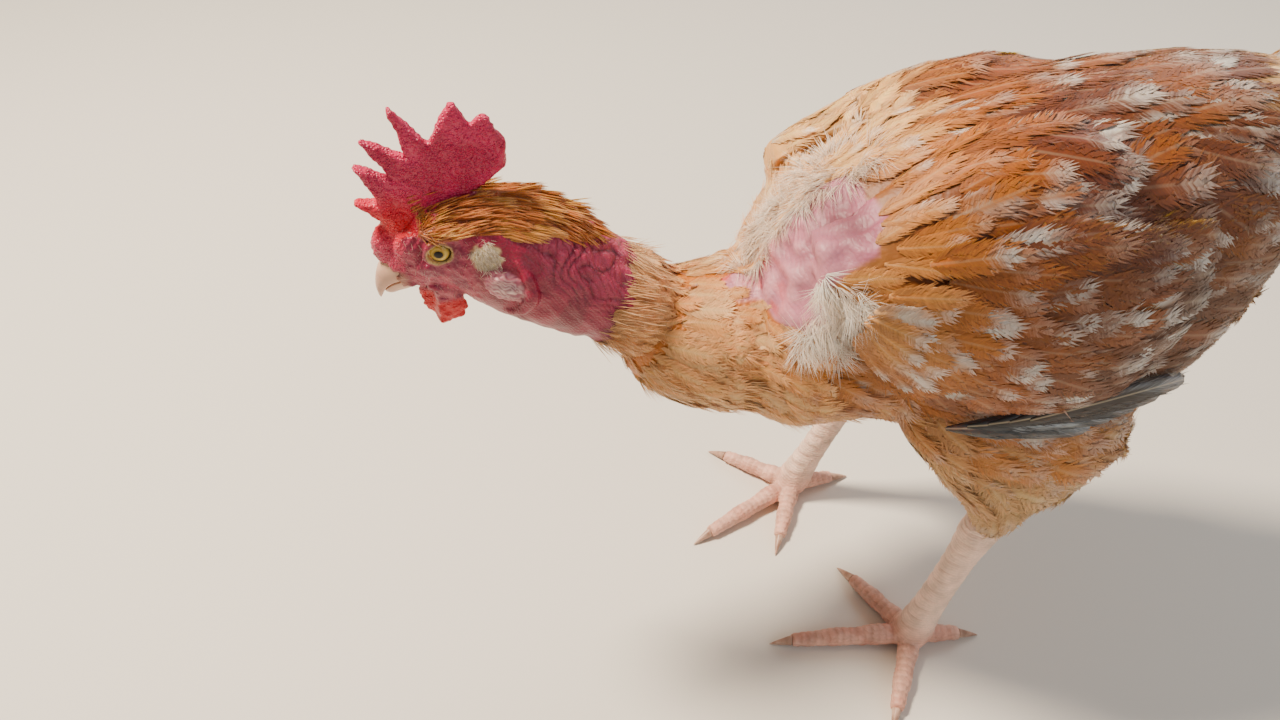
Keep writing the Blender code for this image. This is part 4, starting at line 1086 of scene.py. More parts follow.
def templateSet(word, shapes):
    # The variants of one kind of feather, each with the same number of points
    group = bpy.data.collections.new(word)
    for k, (points, faces, uv) in enumerate(shapes):
        item = makeObject(f"{word}_{k}", points, faces, hidden=True)
        item.data.uv_layers.new(name="vane").data.foreach_set("uv", uv[readCorners(item.data)].ravel())
        addVector(item.data, "place", points)
        item.data.polygons.foreach_set("use_smooth", [len(face) > 3 for face in faces])  # barbs stay flat
        group.objects.link(item)
    return group, len(shapes), len(shapes[0][0])


def makeCoatTree():
    # Sets one feather of the collection on each point, turned along its lie, makes it real mesh and
    # bends it over the ground, so that each rises evenly from its root and covers the next ones
    tree = bpy.data.node_groups.new("coat", "GeometryNodeTree")
    for word, kind in (("Roots", "Geometry"), ("Feathers", "Collection"), ("Ground", "Object"),
                       ("Size", "Float"), ("Finish", "Material")):
        tree.interface.new_socket(word, in_out="INPUT", socket_type="NodeSocket" + kind)
    tree.interface.new_socket("Coat", in_out="OUTPUT", socket_type="NodeSocketGeometry")
    given = addNode(tree, "NodeGroupInput")
    named = {}
    for word, kind in (("lie", "FLOAT_VECTOR"), ("outward", "FLOAT_VECTOR"), ("extent", "FLOAT_VECTOR"),
                       ("variant", "INT"), ("place", "FLOAT_VECTOR"), ("drape", "FLOAT_VECTOR"),
                       ("facing", "FLOAT_VECTOR")):
        node = addNode(tree, "GeometryNodeInputNamedAttribute", {"data_type": kind})
        node.inputs["Name"].default_value = word
        named[word] = node.outputs["Attribute"]
    turn = addNode(tree, "FunctionNodeAxesToRotation", {"primary_axis": "Y", "secondary_axis": "Z"},
                   i0=named["lie"], i1=named["outward"])
    scaled = addNode(tree, "ShaderNodeVectorMath", {"operation": "SCALE"}, i0=named["extent"],
                     Scale=given.outputs["Size"])
    picks = addNode(tree, "GeometryNodeCollectionInfo", None, Collection=given.outputs["Feathers"],
                    Separate_Children=True, Reset_Children=True)
    spots = addNode(tree, "GeometryNodeMeshToPoints", None, Mesh=given.outputs["Roots"])
    placed = addNode(tree, "GeometryNodeInstanceOnPoints", None, Points=spots.outputs[0],
                     Instance=picks.outputs[0], Pick_Instance=True, Instance_Index=named["variant"],
                     Rotation=turn.outputs[0], Scale=scaled.outputs[0])
    real = addNode(tree, "GeometryNodeRealizeInstances", None, Geometry=placed.outputs[0])
    # drape holds the share of the bend, the rise along the feather and the height of its root
    ground = addNode(tree, "GeometryNodeObjectInfo", None, Object=given.outputs["Ground"])
    where = addNode(tree, "GeometryNodeInputPosition")
    nearest = addNode(tree, "GeometryNodeSampleNearestSurface", {"data_type": "FLOAT_VECTOR"},
                      Mesh=ground.outputs["Geometry"], Value=where.outputs[0])
    facing = addNode(tree, "GeometryNodeSampleNearestSurface", {"data_type": "FLOAT_VECTOR"},
                     Mesh=ground.outputs["Geometry"], Value=named["facing"])
    place = addNode(tree, "ShaderNodeSeparateXYZ", None, Vector=named["place"])
    drape = addNode(tree, "ShaderNodeSeparateXYZ", None, Vector=named["drape"])
    grown = addNode(tree, "ShaderNodeSeparateXYZ", None, Vector=scaled.outputs[0])
    calc = calcIn(tree)
    along = calc("MULTIPLY", calc("MULTIPLY", place.outputs["Y"], grown.outputs["Y"]), drape.outputs["Y"])
    height = calc("ADD", calc("MULTIPLY_ADD", place.outputs["Z"], grown.outputs["Z"], along),
                  calc("MULTIPLY", drape.outputs["Z"], given.outputs["Size"]))
    raised = addNode(tree, "ShaderNodeVectorMath", {"operation": "SCALE"}, i0=facing.outputs[0],
                     Scale=height)
    laid = addNode(tree, "ShaderNodeVectorMath", {"operation": "ADD"}, i0=nearest.outputs[0],
                   i1=raised.outputs[0])
    bent = addNode(tree, "ShaderNodeMix", {"data_type": "VECTOR"}, i0=drape.outputs["X"],
                   i4=where.outputs[0], i5=laid.outputs[0])
    moved = addNode(tree, "GeometryNodeSetPosition", None, Geometry=real.outputs[0],
                    Position=bent.outputs[1])
    painted = addNode(tree, "GeometryNodeSetMaterial", None, Geometry=moved.outputs[0],
                      Material=given.outputs["Finish"])
    addNode(tree, "NodeGroupOutput", None, Coat=painted.outputs[0])
    return tree


def setInput(modifier, name, value):
    for item in modifier.node_group.interface.items_tree:
        if item.item_type == "SOCKET" and item.in_out == "INPUT" and item.name == name:
            modifier[item.identifier] = value


def makeCoat(name, kind, finish, roots, lie, outward, extent, webTone, markTone, marks, unwrap, seed,
             ground=None, drape=(0, 0, 0)):
    # roots in millimetres; extent is width, length and thickness of each feather in millimetres
    group, variants, pointCount = kind
    draw = np.random.default_rng(seed)
    made = makeObject(name, toMetres(roots), [])
    addVector(made.data, "lie", unit(lie))
    addVector(made.data, "outward", unit(outward))
    addVector(made.data, "extent", extent)
    variant = made.data.attributes.new("variant", "INT", "POINT")
    variant.data.foreach_set("value", draw.integers(0, variants, len(roots)).astype(np.int32))
    addTone(made.data, "webTone", webTone)
    addTone(made.data, "markTone", markTone)
    addVector(made.data, "marks", marks)
    addVector(made.data, "drape", np.broadcast_to(drape, (len(roots), 3)))
    modifier = made.modifiers.new("coat", "NODES")
    modifier.node_group = coatTree
    setInput(modifier, "Feathers", group)
    if ground:
        setInput(modifier, "Ground", ground)
    setInput(modifier, "Size", 0.001)
    setInput(modifier, "Finish", finish)
    finished(made)
    mesh = made.data
    for word in ("lie", "outward", "extent", "variant", "place", "drape"):
        if word in mesh.attributes:
            mesh.attributes.remove(mesh.attributes[word])
    # each feather bakes into a patch of its own, at its root's place on an unwrap of the skin
    local = np.empty(len(mesh.loops) * 2)
    mesh.uv_layers["vane"].data.foreach_get("uv", local)
    patch = unwrap(roots)[readCorners(mesh) // pointCount] + 0.003 * (local.reshape(-1, 2) - 0.5)
    mesh.uv_layers.new(name="OFBake").data.foreach_set("uv", patch.ravel())
    triangles = sum(len(face.vertices) - 2 for face in mesh.polygons)
    print(name, len(roots), "feathers", triangles, "triangles")
    return made


def scatter(mesh, spacing, weight, seed, tries=5):
    # Seeded points spread over a mesh no closer than the spacing; weight thins them out
    draw = np.random.default_rng(seed)
    mesh.calc_loop_triangles()
    corners = np.empty(len(mesh.loop_triangles) * 3, int)
    mesh.loop_triangles.foreach_get("vertices", corners)
    corners = corners.reshape(-1, 3)
    points, normals = readPoints(mesh), readNormals(mesh)
    a, b, c = (points[corners[:, k]] for k in range(3))
    areas = np.linalg.norm(np.cross(b - a, c - a), axis=1) / 2 * (weight(a) > 0.01)
    count = int(areas.sum() / spacing ** 2 * tries)
    picked = draw.choice(len(areas), count, p=areas / areas.sum())
    r = np.sqrt(draw.uniform(size=count))[:, None]
    s = draw.uniform(size=count)[:, None]
    shares = (1 - r, r * (1 - s), r * s)
    where = sum(points[corners[picked, k]] * shares[k] for k in range(3))
    facing = unit(sum(normals[corners[picked, k]] * shares[k] for k in range(3)))
    keep = draw.uniform(size=count) < weight(where)
    where, facing = where[keep], facing[keep]
    cells, kept = {}, []
    grid = np.floor(where / spacing).astype(int)
    near = [(i, j, k) for i in (-1, 0, 1) for j in (-1, 0, 1) for k in (-1, 0, 1)]
    for index, (place, cell) in enumerate(zip(where, grid.tolist())):
        clear = True
        for i, j, k in near:
            for other in cells.get((cell[0] + i, cell[1] + j, cell[2] + k), ()):
                gap = where[other] - place
                if gap @ gap < spacing * spacing:
                    clear = False
                    break
            if not clear:
                break
        if clear:
            cells.setdefault(tuple(cell), []).append(index)
            kept.append(index)
    return where[kept], facing[kept]


def layAlong(direction, facing, lift):
    # The direction laid on the surface, then lifted off it by this angle in radians
    flat = unit(direction - facing * np.sum(direction * facing, axis=1, keepdims=True))
    lift = np.reshape(lift, (-1, 1))
    return flat * np.cos(lift) + facing * np.sin(lift), facing * np.cos(lift) - flat * np.sin(lift)


def bodyUnwrap(points):
    turn = np.arctan2(points[:, 0], points[:, 2] - 190) / math.tau + 0.5
    return np.stack([0.02 + 0.96 * turn, 0.02 + 0.96 * np.clip((points[:, 1] + 215) / 440, 0, 1)], 1)


def shieldUnwrap(points):
    return np.stack([0.05 + 0.9 * np.clip((points[:, 1] + 60) / 240, 0, 1),
                     0.05 + 0.9 * np.clip((points[:, 2] - 140) / 160, 0, 1)], 1)


coat = {
    "back": {"spacing": 6.3, "length": 34, "width": 21, "lift": 0.042, "seed": 101, "drape": 0.88},
    "belly": {"spacing": 6.3, "length": 27, "width": 22, "lift": 0.055, "seed": 111, "drape": 0.85},
    "shoulder": {"spacing": 2.7, "length": 16, "seed": 131},
    "cap": {"spacing": 0.62, "length": 12, "width": 0.95, "lift": 0.05, "seed": 141},
    "tuft": {"spacing": 4.5, "length": 26, "width": 21, "lift": 0.05, "seed": 151, "drape": 0.9},
    "ruff": {"spacing": 2.5, "length": 15, "width": 12, "lift": 0.09, "seed": 153, "drape": 0.8},
    "tuftDown": {"spacing": 4.6, "length": 15, "seed": 156},
    "fringe": {"spacing": 1.15, "length": 11, "width": 0.5, "seed": 157},
    "ear": {"spacing": 0.36, "length": 3.0, "width": 0.20, "seed": 161},
    "face": {"spacing": 2.2, "length": 3.0, "width": 0.16, "seed": 171},
}


def growOver(name, skin, plan, kind, finish, weight, direction, lift, size, web, mark, tip, blotch, sink=1.0,
             ground=None):
    # A coat piece over part of a skin: weight is a formula of places, and direction, lift, size, web,
    # tip and blotch are formulas of the roots. The roots lie sink deep, and feathers bend over the ground.
    draw = np.random.default_rng(plan["seed"])
    roots, facing = scatter(skin.data, plan["spacing"], weight, plan["seed"])
    count = len(roots)
    lie, outward = layAlong(direction(roots, draw), facing, lift(roots, draw))
    outward = outward + 0.22 * draw.normal(size=(count, 3))
    grown = size(roots, draw) * draw.uniform(0.84, 1.16, count)
    width = plan.get("width", plan["length"]) * grown * draw.uniform(0.85, 1.12, count)
    extent = np.stack([width, plan["length"] * grown, plan["length"] * grown], 1)
    made = makeCoat(name, kind, finish, roots - facing * sink, lie, outward, extent,
                    web(roots, draw) * draw.uniform(0.93, 1.07, count)[:, None],
                    mark * draw.uniform(0.62, 1.0, count)[:, None],
                    np.stack([tip(roots, draw), blotch(roots, draw), draw.uniform(size=count)], 1),
                    bodyUnwrap, plan["seed"], ground or skin,
                    np.stack([np.full(count, plan.get("drape", 0)), lift(roots, draw),
                              np.full(count, 0.4)], 1))
    rideAndReplace(made, "plumage")
    return made


def joinedGround(skins):
    # One surface for feathers that pass from one skin to the next
    points, facing, faces, start = [], [], [], 0
    for skin in skins:
        faces += [[start + corner for corner in face.vertices] for face in skin.data.polygons]
        points.append(readPoints(skin.data))
        facing.append(readNormals(skin.data))
        start += len(points[-1])
    sheet = makeObject("joined_ground", toMetres(np.vstack(points)), faces, hidden=True)
    addVector(sheet.data, "facing", np.vstack(facing))
    return sheet


def always(value):
    return lambda roots, draw: np.full(len(roots), float(value))


def between(low, high):
    return lambda roots, draw: draw.uniform(low, high, len(roots))


def makeBackCoat(skin, side, word):
    plan = dict(coat["back"], seed=coat["back"]["seed"] + (side < 0))

    def weight(points):
        x, y, z = points.T
        hidden = (abs(x) > 50) & (y > -26) & (y < 78) & (z > 184) & (z < 250)
        return (x * side >= 0) * (1 - smoothStep(0.3, 0.6, bareZone(points))) * np.where(hidden, 0.2, 1.0) \
            * (z > 168) * (y > -62) * (0.52 + 0.48 * smoothStep(-12, -26, y))

    def direction(roots, draw):
        x, y, z = roots.T
        above = smoothStep(190, 265, z)
        lie = np.stack([0.22 * np.sign(x) * above * smoothStep(0, -50, y), 1 + 0 * x, -0.42 * (1 - above)], 1)
        return lie + 0.16 * draw.normal(size=(len(roots), 3)) + 0.14 * swirl(roots)

    def size(roots, _):
        return 0.60 + 0.42 * smoothStep(-50, 10, roots[:, 1])

    def lift(roots, draw):
        hollow = np.exp(-((roots[:, 1] + 38) / 9) ** 2) * smoothStep(40, 26, abs(roots[:, 0]))
        rear = smoothStep(70, 105, roots[:, 1]) * smoothStep(235, 255, roots[:, 2])
        return plan["lift"] + 0.06 * hollow + 0.03 * rear + 0.01 * draw.normal(size=len(roots))

    growOver("back_feathers_" + word, skin, plan, contourKind, featherFinish, weight, direction, lift, size,
             lambda roots, draw: plumageTone(roots), tones["white"],
             lambda roots, draw: draw.uniform(0, 0.9, len(roots)) ** 3,
             lambda roots, draw: whitePatches(roots, draw) - 0.06)


def whitePatches(roots, draw):
    # groups of feathers that are white in part
    return 0.34 * smoothStep(0.65, 1.2, waves(roots, 13, 206)) + draw.uniform(0, 0.06, len(roots))


def swirl(points):
    # a slow wander of the lie, so that feathers part and cross as on a live bird
    return np.stack([waves(points, 38, seed) for seed in (207, 208, 209)], 1)


def makeBellyCoat(skin, side, word):
    plan = dict(coat["belly"], seed=coat["belly"]["seed"] + (side < 0))

    def weight(points):
        x, y, z = points.T
        return (x * side >= 0) * (z < 188) * (z > 92) * (y > -66) * 1.0

    def direction(roots, draw):
        low = smoothStep(150, 105, roots[:, 2])
        return np.stack([0 * low, 1.0 - 0.75 * low, -0.40 - 0.75 * low], 1) \
            + 0.22 * draw.normal(size=(len(roots), 3)) + 0.12 * swirl(roots)

    growOver("belly_feathers_" + word, skin, plan, looseKind, featherFinish, weight, direction,
             lambda roots, draw: plan["lift"] + 0.02 * draw.normal(size=len(roots)),
             lambda roots, draw: 1 - 0.42 * smoothStep(118, 96, roots[:, 2]),
             lambda roots, draw: plumageTone(roots), tones["white"], between(0.0, 0.35),
             lambda roots, draw: 0.02 + 0.16 * smoothStep(0.1, 1.2, waves(roots, 20, 210)))


def makeShoulderDown(skin):
    # Bursts of white down where the wings meet the bare hollow, on both sides and behind it
    plan = coat["shoulder"]

    def weight(points):
        x, y, z = points.T
        reach = bareReach(points)
        rim = np.exp(-((reach + 3) / 3.5) ** 2) * (y > -66) * smoothStep(10, 2, x)
        near = smoothStep(-40, -47, y) * (x > 40) * smoothStep(196, 204, z) * smoothStep(236, 226, z)
        far = smoothStep(-20, -30, y) * smoothStep(10, 2, x) * smoothStep(-15, -9, reach) * (reach < 1)
        return np.clip(np.max([0.8 * rim, near, 0.8 * far], axis=0), 0, 1) * (y > -72)

    def direction(roots, draw):
        x = roots[:, 0]
        return np.stack([0.4 * np.sign(x), 0.2 + 0 * x, -0.8 + 0 * x], 1) \
            + 0.5 * draw.normal(size=(len(roots), 3))

    def web(roots, draw):
        buffShare = draw.uniform(0, 0.7, len(roots)) ** 2 + 0.2 * (roots[:, 0] < 10)
        return paintOver("FFF4E2", ("EDB47A", buffShare))

    growOver("shoulder_down", skin, plan, downKind, downFinish, weight, direction, between(0.1, 0.6),
             between(0.75, 1.15), web, tones["white"], always(0.6), always(0))


def makeTuft(skin, neckSkin):
    # The bow tie: loose buff feathers combed back from the bare neck, with down among them
    plan = coat["tuft"]
    ground = joinedGround((skin, neckSkin))

    def weight(points):
        x, y, z = points.T
        front = np.interp(z, (160, 175, 185, 195, 205, 230), (-116, -115, -109, -101, -94, -89))
        return (bareReach(points) < -1) * (y > front) * (y < -56) * ((y < -80) | (z < 202) | (x < 6))

    def low(roots):
        return smoothStep(196, 160, roots[:, 2])

    def direction(roots, draw):
        x = roots[:, 0]
        lie = np.stack([0.30 * np.sign(x) * (1 - low(roots)), 1.0 + 0 * x, -0.05 - 0.22 * low(roots)], 1)
        return lie + 0.09 * draw.normal(size=(len(roots), 3)) + 0.10 * swirl(roots)

    def lift(roots, draw):
        front = smoothStep(-92, -108, roots[:, 1])
        top = smoothStep(206, 216, roots[:, 2]) * smoothStep(-80, -92, roots[:, 1])
        return plan["lift"] + 0.05 * low(roots) * front + 0.06 * top + 0.01 * draw.normal(size=len(roots))

    def web(roots, draw):
        # deep darkens the lower tuft as painted shade and pale lightens its top as painted light, each over
        # random tone
        deep = 0.3 * low(roots) + 0.5 * smoothStep(0.0, 1.2, waves(roots, 20, 221))
        pale = 0.6 * draw.uniform(size=len(roots)) + 0.3 * smoothStep(205, 222, roots[:, 2])
        return paintOver("E8964A", ("C8843A", deep), ("F6C48A", pale))

    def size(roots, _):
        return (0.75 + 0.35 * low(roots)) * np.clip(0.42 - bareReach(roots) / 26, 0.52, 1)

    made = growOver("tuft_feathers", skin, plan, contourKind, featherFinish, weight, direction, lift, size,
                    web, tones["cream"], between(0.1, 0.7), always(0.05), ground=ground)
    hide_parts("neck_tuft")
    growOver("tuft_ruff", neckSkin, coat["ruff"], looseKind, featherFinish,
             lambda points: ruffZone(points) * smoothStep(-90, -94, slantedRun(points)), direction,
             lambda roots, draw: coat["ruff"]["lift"] + 0.04 * draw.normal(size=len(roots)),
             lambda roots, draw: 0.7 + 0.3 * smoothStep(-112, -100, roots[:, 1]), web, tones["cream"],
             between(0.1, 0.7), always(0.05), ground=ground)
    # fine hairs run from the ruff's edge over the first feathers
    growOver("tuft_fringe", neckSkin, coat["fringe"], strandKind, downFinish,
             lambda points: ruffZone(points + (0, 3, 0))
             * (1 - smoothStep(0.2, 0.8, ruffZone(points - (0, 7, 0)))),
             direction, between(0.12, 0.5), between(0.6, 1.1), web, tones["cream"], always(0.2),
             always(0), 0.2)
    growOver("tuft_down", skin, coat["tuftDown"], lockKind, downFinish, weight, direction,
             between(0.08, 0.34), size, web, tones["cream"], always(0), always(0))


def capZone(points):
    x, y, z = points.T
    floor = np.interp(y, (-200, -196, -188, -178, -165, -150, -138, -130, -128),
                      (239, 235.5, 236.5, 237.5, 238.5, 237, 234, 231, 229))
    comb = (abs(x) < 3.4) & (y < -174) | (abs(x) < 3.2) & (z > 249) & (y < -160)
    return (z > floor) * (z < 256) * (y < -130) * (y > -200) * (1.0 - comb)


def ruffZone(points):
    # the ruff grows on the neck's last stretch, along a slanted line
    wander = 1.5 * waves(points, 9, 233)
    return smoothStep(-116, -110, slantedRun(points) + wander)


def slantedRun(points):
    return points[:, 1] + 0.42 * (225 - points[:, 2])


def makeCap(skin):
    # Narrow rusty feathers from the comb's foot back over the crown to the nape
    plan = coat["cap"]

    def direction(roots, draw):
        x, y = roots[:, 0], roots[:, 1]
        rise = 0.45 - 0.80 * smoothStep(-192, -162, y)
        return np.stack([0.16 * np.sign(x) * smoothStep(-190, -170, y), 1.0 + 0 * x, rise], 1) \
            + 0.06 * draw.normal(size=(len(roots), 3)) + 0.10 * swirl(roots * 2.5)

    def web(roots, draw):
        # the lighter patches laid by noise (E49C38) are a painted sheen highlight on the cap's feathers
        return paintOver("CC6410", ("9A4208", draw.uniform(0, 0.8, len(roots)) ** 2),
                         ("E49C38", 0.6 * smoothStep(0.0, 1.3, waves(roots, 9, 231) + 0.2)))

    growOver("cap_feathers", skin, plan, strandKind, featherFinish, capZone, direction,
             lambda roots, draw: plan["lift"] + 0.025 * draw.normal(size=len(roots)),
             lambda roots, draw: 0.55 + 0.45 * smoothStep(-199, -182, roots[:, 1]), web, linear("E0A060"),
             between(0, 0.4), always(0), 0.3)


def makeBristles(skin):
    # Creamy bristles cover the ear, and sparse fine hairs grow on the face
    ear = np.array(head["ear"])

    def onEar(points):
        away = points * (0, 1, 1) + np.abs(points) * (1, 0, 0) - ear
        wide = np.hypot(away[:, 1] / 4.6, away[:, 2] / 5.0) + 0.20 * waves(points, 2.4, 232)
        return (wide < 1) * (np.abs(away[:, 0]) < 6) * 1.0

    def onFace(points):
        x, y, z = points.T
        away = np.hypot(y - eye["place"][1], z - eye["place"][2])
        return (y < -174) * (y > -203) * (z > 209) * (z < 240) * (abs(x) > 6) * (away > 6) * 1.0

    def direction(roots, draw):
        return np.array([0, 0.45, -0.75]) + 0.30 * draw.normal(size=(len(roots), 3))

    for word, weight, tone in (("ear", onEar, "F3E0C4"), ("face", onFace, "D8A890")):
        growOver(word + "_bristles", skin, coat[word], strandKind, downFinish, weight, direction,
                 between(0.12, 0.5) if word == "ear" else between(0.1, 0.4), between(0.8, 1.1),
                 lambda roots, draw: linear(tone), linear(tone), always(0), always(0), 0.1)


# Wing coverts from the shoulder back: place u, number, length, width, rise of the tips, lowest v
wingRows = (
    (0.0, 9, 22, 17, 0.10, 0.98), (0.045, 10, 23, 18, 0.10, 0.98), (0.095, 11, 24, 18, 0.10, 0.98),
    (0.15, 12, 25, 19, 0.10, 0.97), (0.205, 12, 27, 20, 0.09, 0.97), (0.26, 13, 29, 20, 0.09, 0.96),
    (0.32, 13, 31, 21, 0.09, 0.96), (0.38, 13, 32, 21, 0.09, 0.95), (0.44, 13, 34, 22, 0.08, 0.94),
    (0.50, 13, 35, 22, 0.08, 0.94), (0.56, 12, 36, 23, 0.08, 0.93), (0.62, 12, 38, 24, 0.08, 0.92),
    (0.68, 11, 39, 24, 0.07, 0.91), (0.74, 10, 39, 24, 0.07, 0.90), (0.79, 8, 38, 24, 0.06, 0.88),
)
covert = {"top": 0.19, "sink": 4.4, "drape": 0.88, "base": 0.3, "topBase": 2.0}
primaries = {"count": 5, "root": (65.0, -2, 172), "step": (-0.5, 9, -0.4), "heading": (-0.03, 1, -0.15),
             "turn": (-0.02, 0, 0.06), "length": 67, "width": 14}


def wingGround(side):
    # The surface that the coverts lie on, carried on past the wing's lower and rear edges
    rows, columns, step = 40, 34, 0.02
    u, v = np.linspace(-0.12, 1.7, rows)[:, None], np.linspace(-0.02, 1.4, columns)[None, :]
    nearU, nearV = np.clip(u, 0.03, 0.97), np.clip(v, 0.03, 0.98)
    backward = wingPoint(nearU + step, nearV) - wingPoint(nearU - step, nearV)
    downward = wingPoint(nearU, nearV + step) - wingPoint(nearU, nearV - step)
    flank = wingPoint(nearU, nearV, 1 - body["wingDepth"]) \
        + (u - nearU)[..., None] * backward / (2 * step) + (v - nearV)[..., None] * downward / (2 * step)
    corners = np.arange(rows * columns).reshape(rows, columns)
    faces = np.stack([corners[:-1, :-1], corners[1:, :-1], corners[1:, 1:], corners[:-1, 1:]], -1)
    sheet = makeObject("wing_ground", toMetres(flank.reshape(-1, 3) * (side, 1, 1)),
                       faces.reshape(-1, 4).tolist(), hidden=True)
    facing = readNormals(sheet.data)
    addVector(sheet.data, "facing", facing * np.sign(facing[:, :1] * side))
    return sheet


def makeWing(side, word, seed):
    draw = np.random.default_rng(seed)
    rows = {name: [] for name in ("roots", "lies", "outs", "sizes", "webs", "marks", "drapes")}

    def add(**values):
        for name, value in values.items():
            rows[name].append(value)

    for number, (u, count, long, wide, rise, lowest) in enumerate(wingRows):
        places = u + draw.uniform(-0.02, 0.02, count)
        v = covert["top"] + (lowest - covert["top"]) * (np.arange(count) + 0.5 + 0.22 * (-1) ** number
                                                        + draw.uniform(-0.25, 0.25, count)) / count
        here, back, down, away = wingFrame(places, v)
        fall = (-0.08 + 0.30 * v + draw.normal(size=count) * 0.15 + 0.10 * waves(here, 30, 304))[:, None]
        lift = (0.6 * rise + draw.uniform(-0.01, 0.02, count))[:, None]
        lean = unit(unit(back + down * fall) + away * lift)
        length = long * draw.uniform(0.86, 1.14, count)
        rear = smoothStep(0.62, 0.78, places)
        base = covert["base"] + covert["topBase"] * smoothStep(0.40, 0.20, v)
        add(roots=here - away * covert["sink"], lies=lean,
            drapes=np.stack([np.full(count, covert["drape"]), lift[:, 0], base], 1),
            outs=away - lean * lift + down * draw.uniform(-0.3, 0.3, count)[:, None],
            sizes=np.stack([wide * draw.uniform(0.8, 1.1, count), length, length], 1),
            webs=plumageTone(here) * draw.uniform(0.92, 1.08, count)[:, None],
            marks=np.stack([draw.uniform(0, 1.0, count) ** 3 + 0.4 * rear,
                            whitePatches(here, draw) + 0.10 * rear, draw.uniform(size=count)], 1))
    grown = {name: np.vstack(value) for name, value in rows.items()}
    # the down at the shoulder stays clear, and the back's feathers cover the wing's front corner
    y, z = grown["roots"][:, 1], grown["roots"][:, 2]
    clear = ~((y < -45) & (z > 200)) & ~((y < -24) & (z > 236))
    grown = {name: value[clear] for name, value in grown.items()}
    flip = np.array([side, 1, 1])
    made = makeCoat("wing_coverts_" + word, contourKind, featherFinish, grown["roots"] * flip,
                    grown["lies"] * flip, grown["outs"] * flip, grown["sizes"], grown["webs"],
                    tones["white"] * draw.uniform(0.6, 1.0, (len(grown["roots"]), 1)), grown["marks"],
                    shieldUnwrap, seed, wingGround(side), grown["drapes"])
    rideAndReplace(made, "plumage", "wing_" + word)
    # the long quills lie under the coverts along the lower edge, slate with a pale rim
    order = np.arange(primaries["count"])[:, None]
    roots = np.array(primaries["root"], float) + order * np.array(primaries["step"])
    lies = np.array(primaries["heading"]) + order * np.array(primaries["turn"])
    sizes = np.array([primaries["width"], primaries["length"], 40.0]) + order * (0, 0.8, 0)
    made = makeCoat("wing_quills_" + word, quillKind, quillFinish, roots * flip, lies * flip,
                    np.tile((0.93, 0.1, 0.30), (len(order), 1)) * flip, sizes,
                    paintOver("2E353C", ("5A4632", order[:, 0] / 10)),
                    np.tile(linear("C9CED2"), (len(order), 1)),
                    np.hstack([0.5 + 0 * order, 0.10 + 0.14 * (order % 2), draw.uniform(size=order.shape)]),
                    shieldUnwrap, seed)
    rideAndReplace(made, "slate")


tailPlan = {"root": (0, 130, 268), "pairs": 7, "long": 108, "width": 25, "seed": 401}


def tailLie(aside, pitch, side):
    aside, pitch = math.radians(aside), math.radians(pitch)
    return np.array([side * math.sin(aside) * math.cos(pitch), math.cos(aside) * math.cos(pitch),
                     math.sin(pitch)])


def makeTail():
    draw = np.random.default_rng(tailPlan["seed"])
    base = np.array(tailPlan["root"], float)
    roots, lies, outs, sizes, webs, marks = [], [], [], [], [], []
    for side in (1, -1):
        for k in range(tailPlan["pairs"]):
            tent = math.radians(38 + 5 * k)
            lies.append(tailLie(3 + 4 * k, 42 - 4.4 * k, side))
            outs.append(np.array([side * math.sin(tent), -0.25, math.cos(tent)]))
            roots.append(base + (side * (2.6 + 1.5 * k), 2 + 0.6 * k, 9 - 3.3 * k))
            sizes.append((tailPlan["width"], tailPlan["long"] - 3.5 * k + draw.uniform(-3, 3), 70))
            webs.append(paintOver("4A4440", ("6B4A30", 0.15 * (k % 3))))
            marks.append((0.5, 0.10 + draw.uniform(0, 0.15), draw.uniform()))
        for row in range(6):
            for k in range(5):
                back = -12 + 7.5 * row
                tent = math.radians(10 + 22 * k + draw.uniform(-5, 5))
                reach = np.array([side * 17 * math.sin(tent), 0, 14 * math.cos(tent)]) \
                    * (1 - 0.016 * max(back, 0))
                out = np.array([side * math.sin(tent), -0.3, math.cos(tent)])
                lies.append(tailLie(4 + 6 * k, 38 - 9 * k, side) + 0.16 * unit(out))
                outs.append(out)
                roots.append(base + (0, back, 0.55 * back) + reach * 0.86)
                sizes.append((19, 44 + 1.6 * row + draw.uniform(-4, 4), 44))
                webs.append(paintOver("C98544", ("5A4638", smoothStep(1, 5, row))))
                marks.append((draw.uniform(0.2, 0.8), 0.12 + draw.uniform(0, 0.25), draw.uniform()))
    made = makeCoat("tail_feathers", quillKind, quillFinish, np.array(roots), np.array(lies), np.array(outs),
                    np.array(sizes, float), np.array(webs), np.tile(linear("EFE6D8"), (len(roots), 1)),
                    np.array(marks), bodyUnwrap, tailPlan["seed"])
    rideAndReplace(made, "slate", "tail")


# Camera, light and floor

view = {"place": (303.6, -159.9, 436.4), "azimuth": 81, "elevation": 42, "roll": 2, "lens": 27}


def makeCamera():
    a, e = math.radians(view["azimuth"]), math.radians(view["elevation"])
    back = Vector((math.sin(a) * math.cos(e), -math.cos(a) * math.cos(e), math.sin(e)))
    right = Vector((0, 0, 1)).cross(back).normalized()
    up = back.cross(right)
    r = math.radians(view["roll"])
    turnedRight = right * math.cos(r) + up * math.sin(r)
    turnedUp = up * math.cos(r) - right * math.sin(r)
    data = bpy.data.cameras.new("camera")
    data.lens = view["lens"]
    data.sensor_width = 36
    data.clip_start = 0.01
    camera = bpy.data.objects.new("camera", data)
    place = Vector(toMetres(view["place"]))
    camera.matrix_world = Matrix((
        (turnedRight.x, turnedUp.x, back.x, place.x),
        (turnedRight.y, turnedUp.y, back.y, place.y),
        (turnedRight.z, turnedUp.z, back.z, place.z),
        (0, 0, 0, 1),
    ))
    bpy.context.scene.collection.objects.link(camera)
    bpy.context.scene.camera = camera


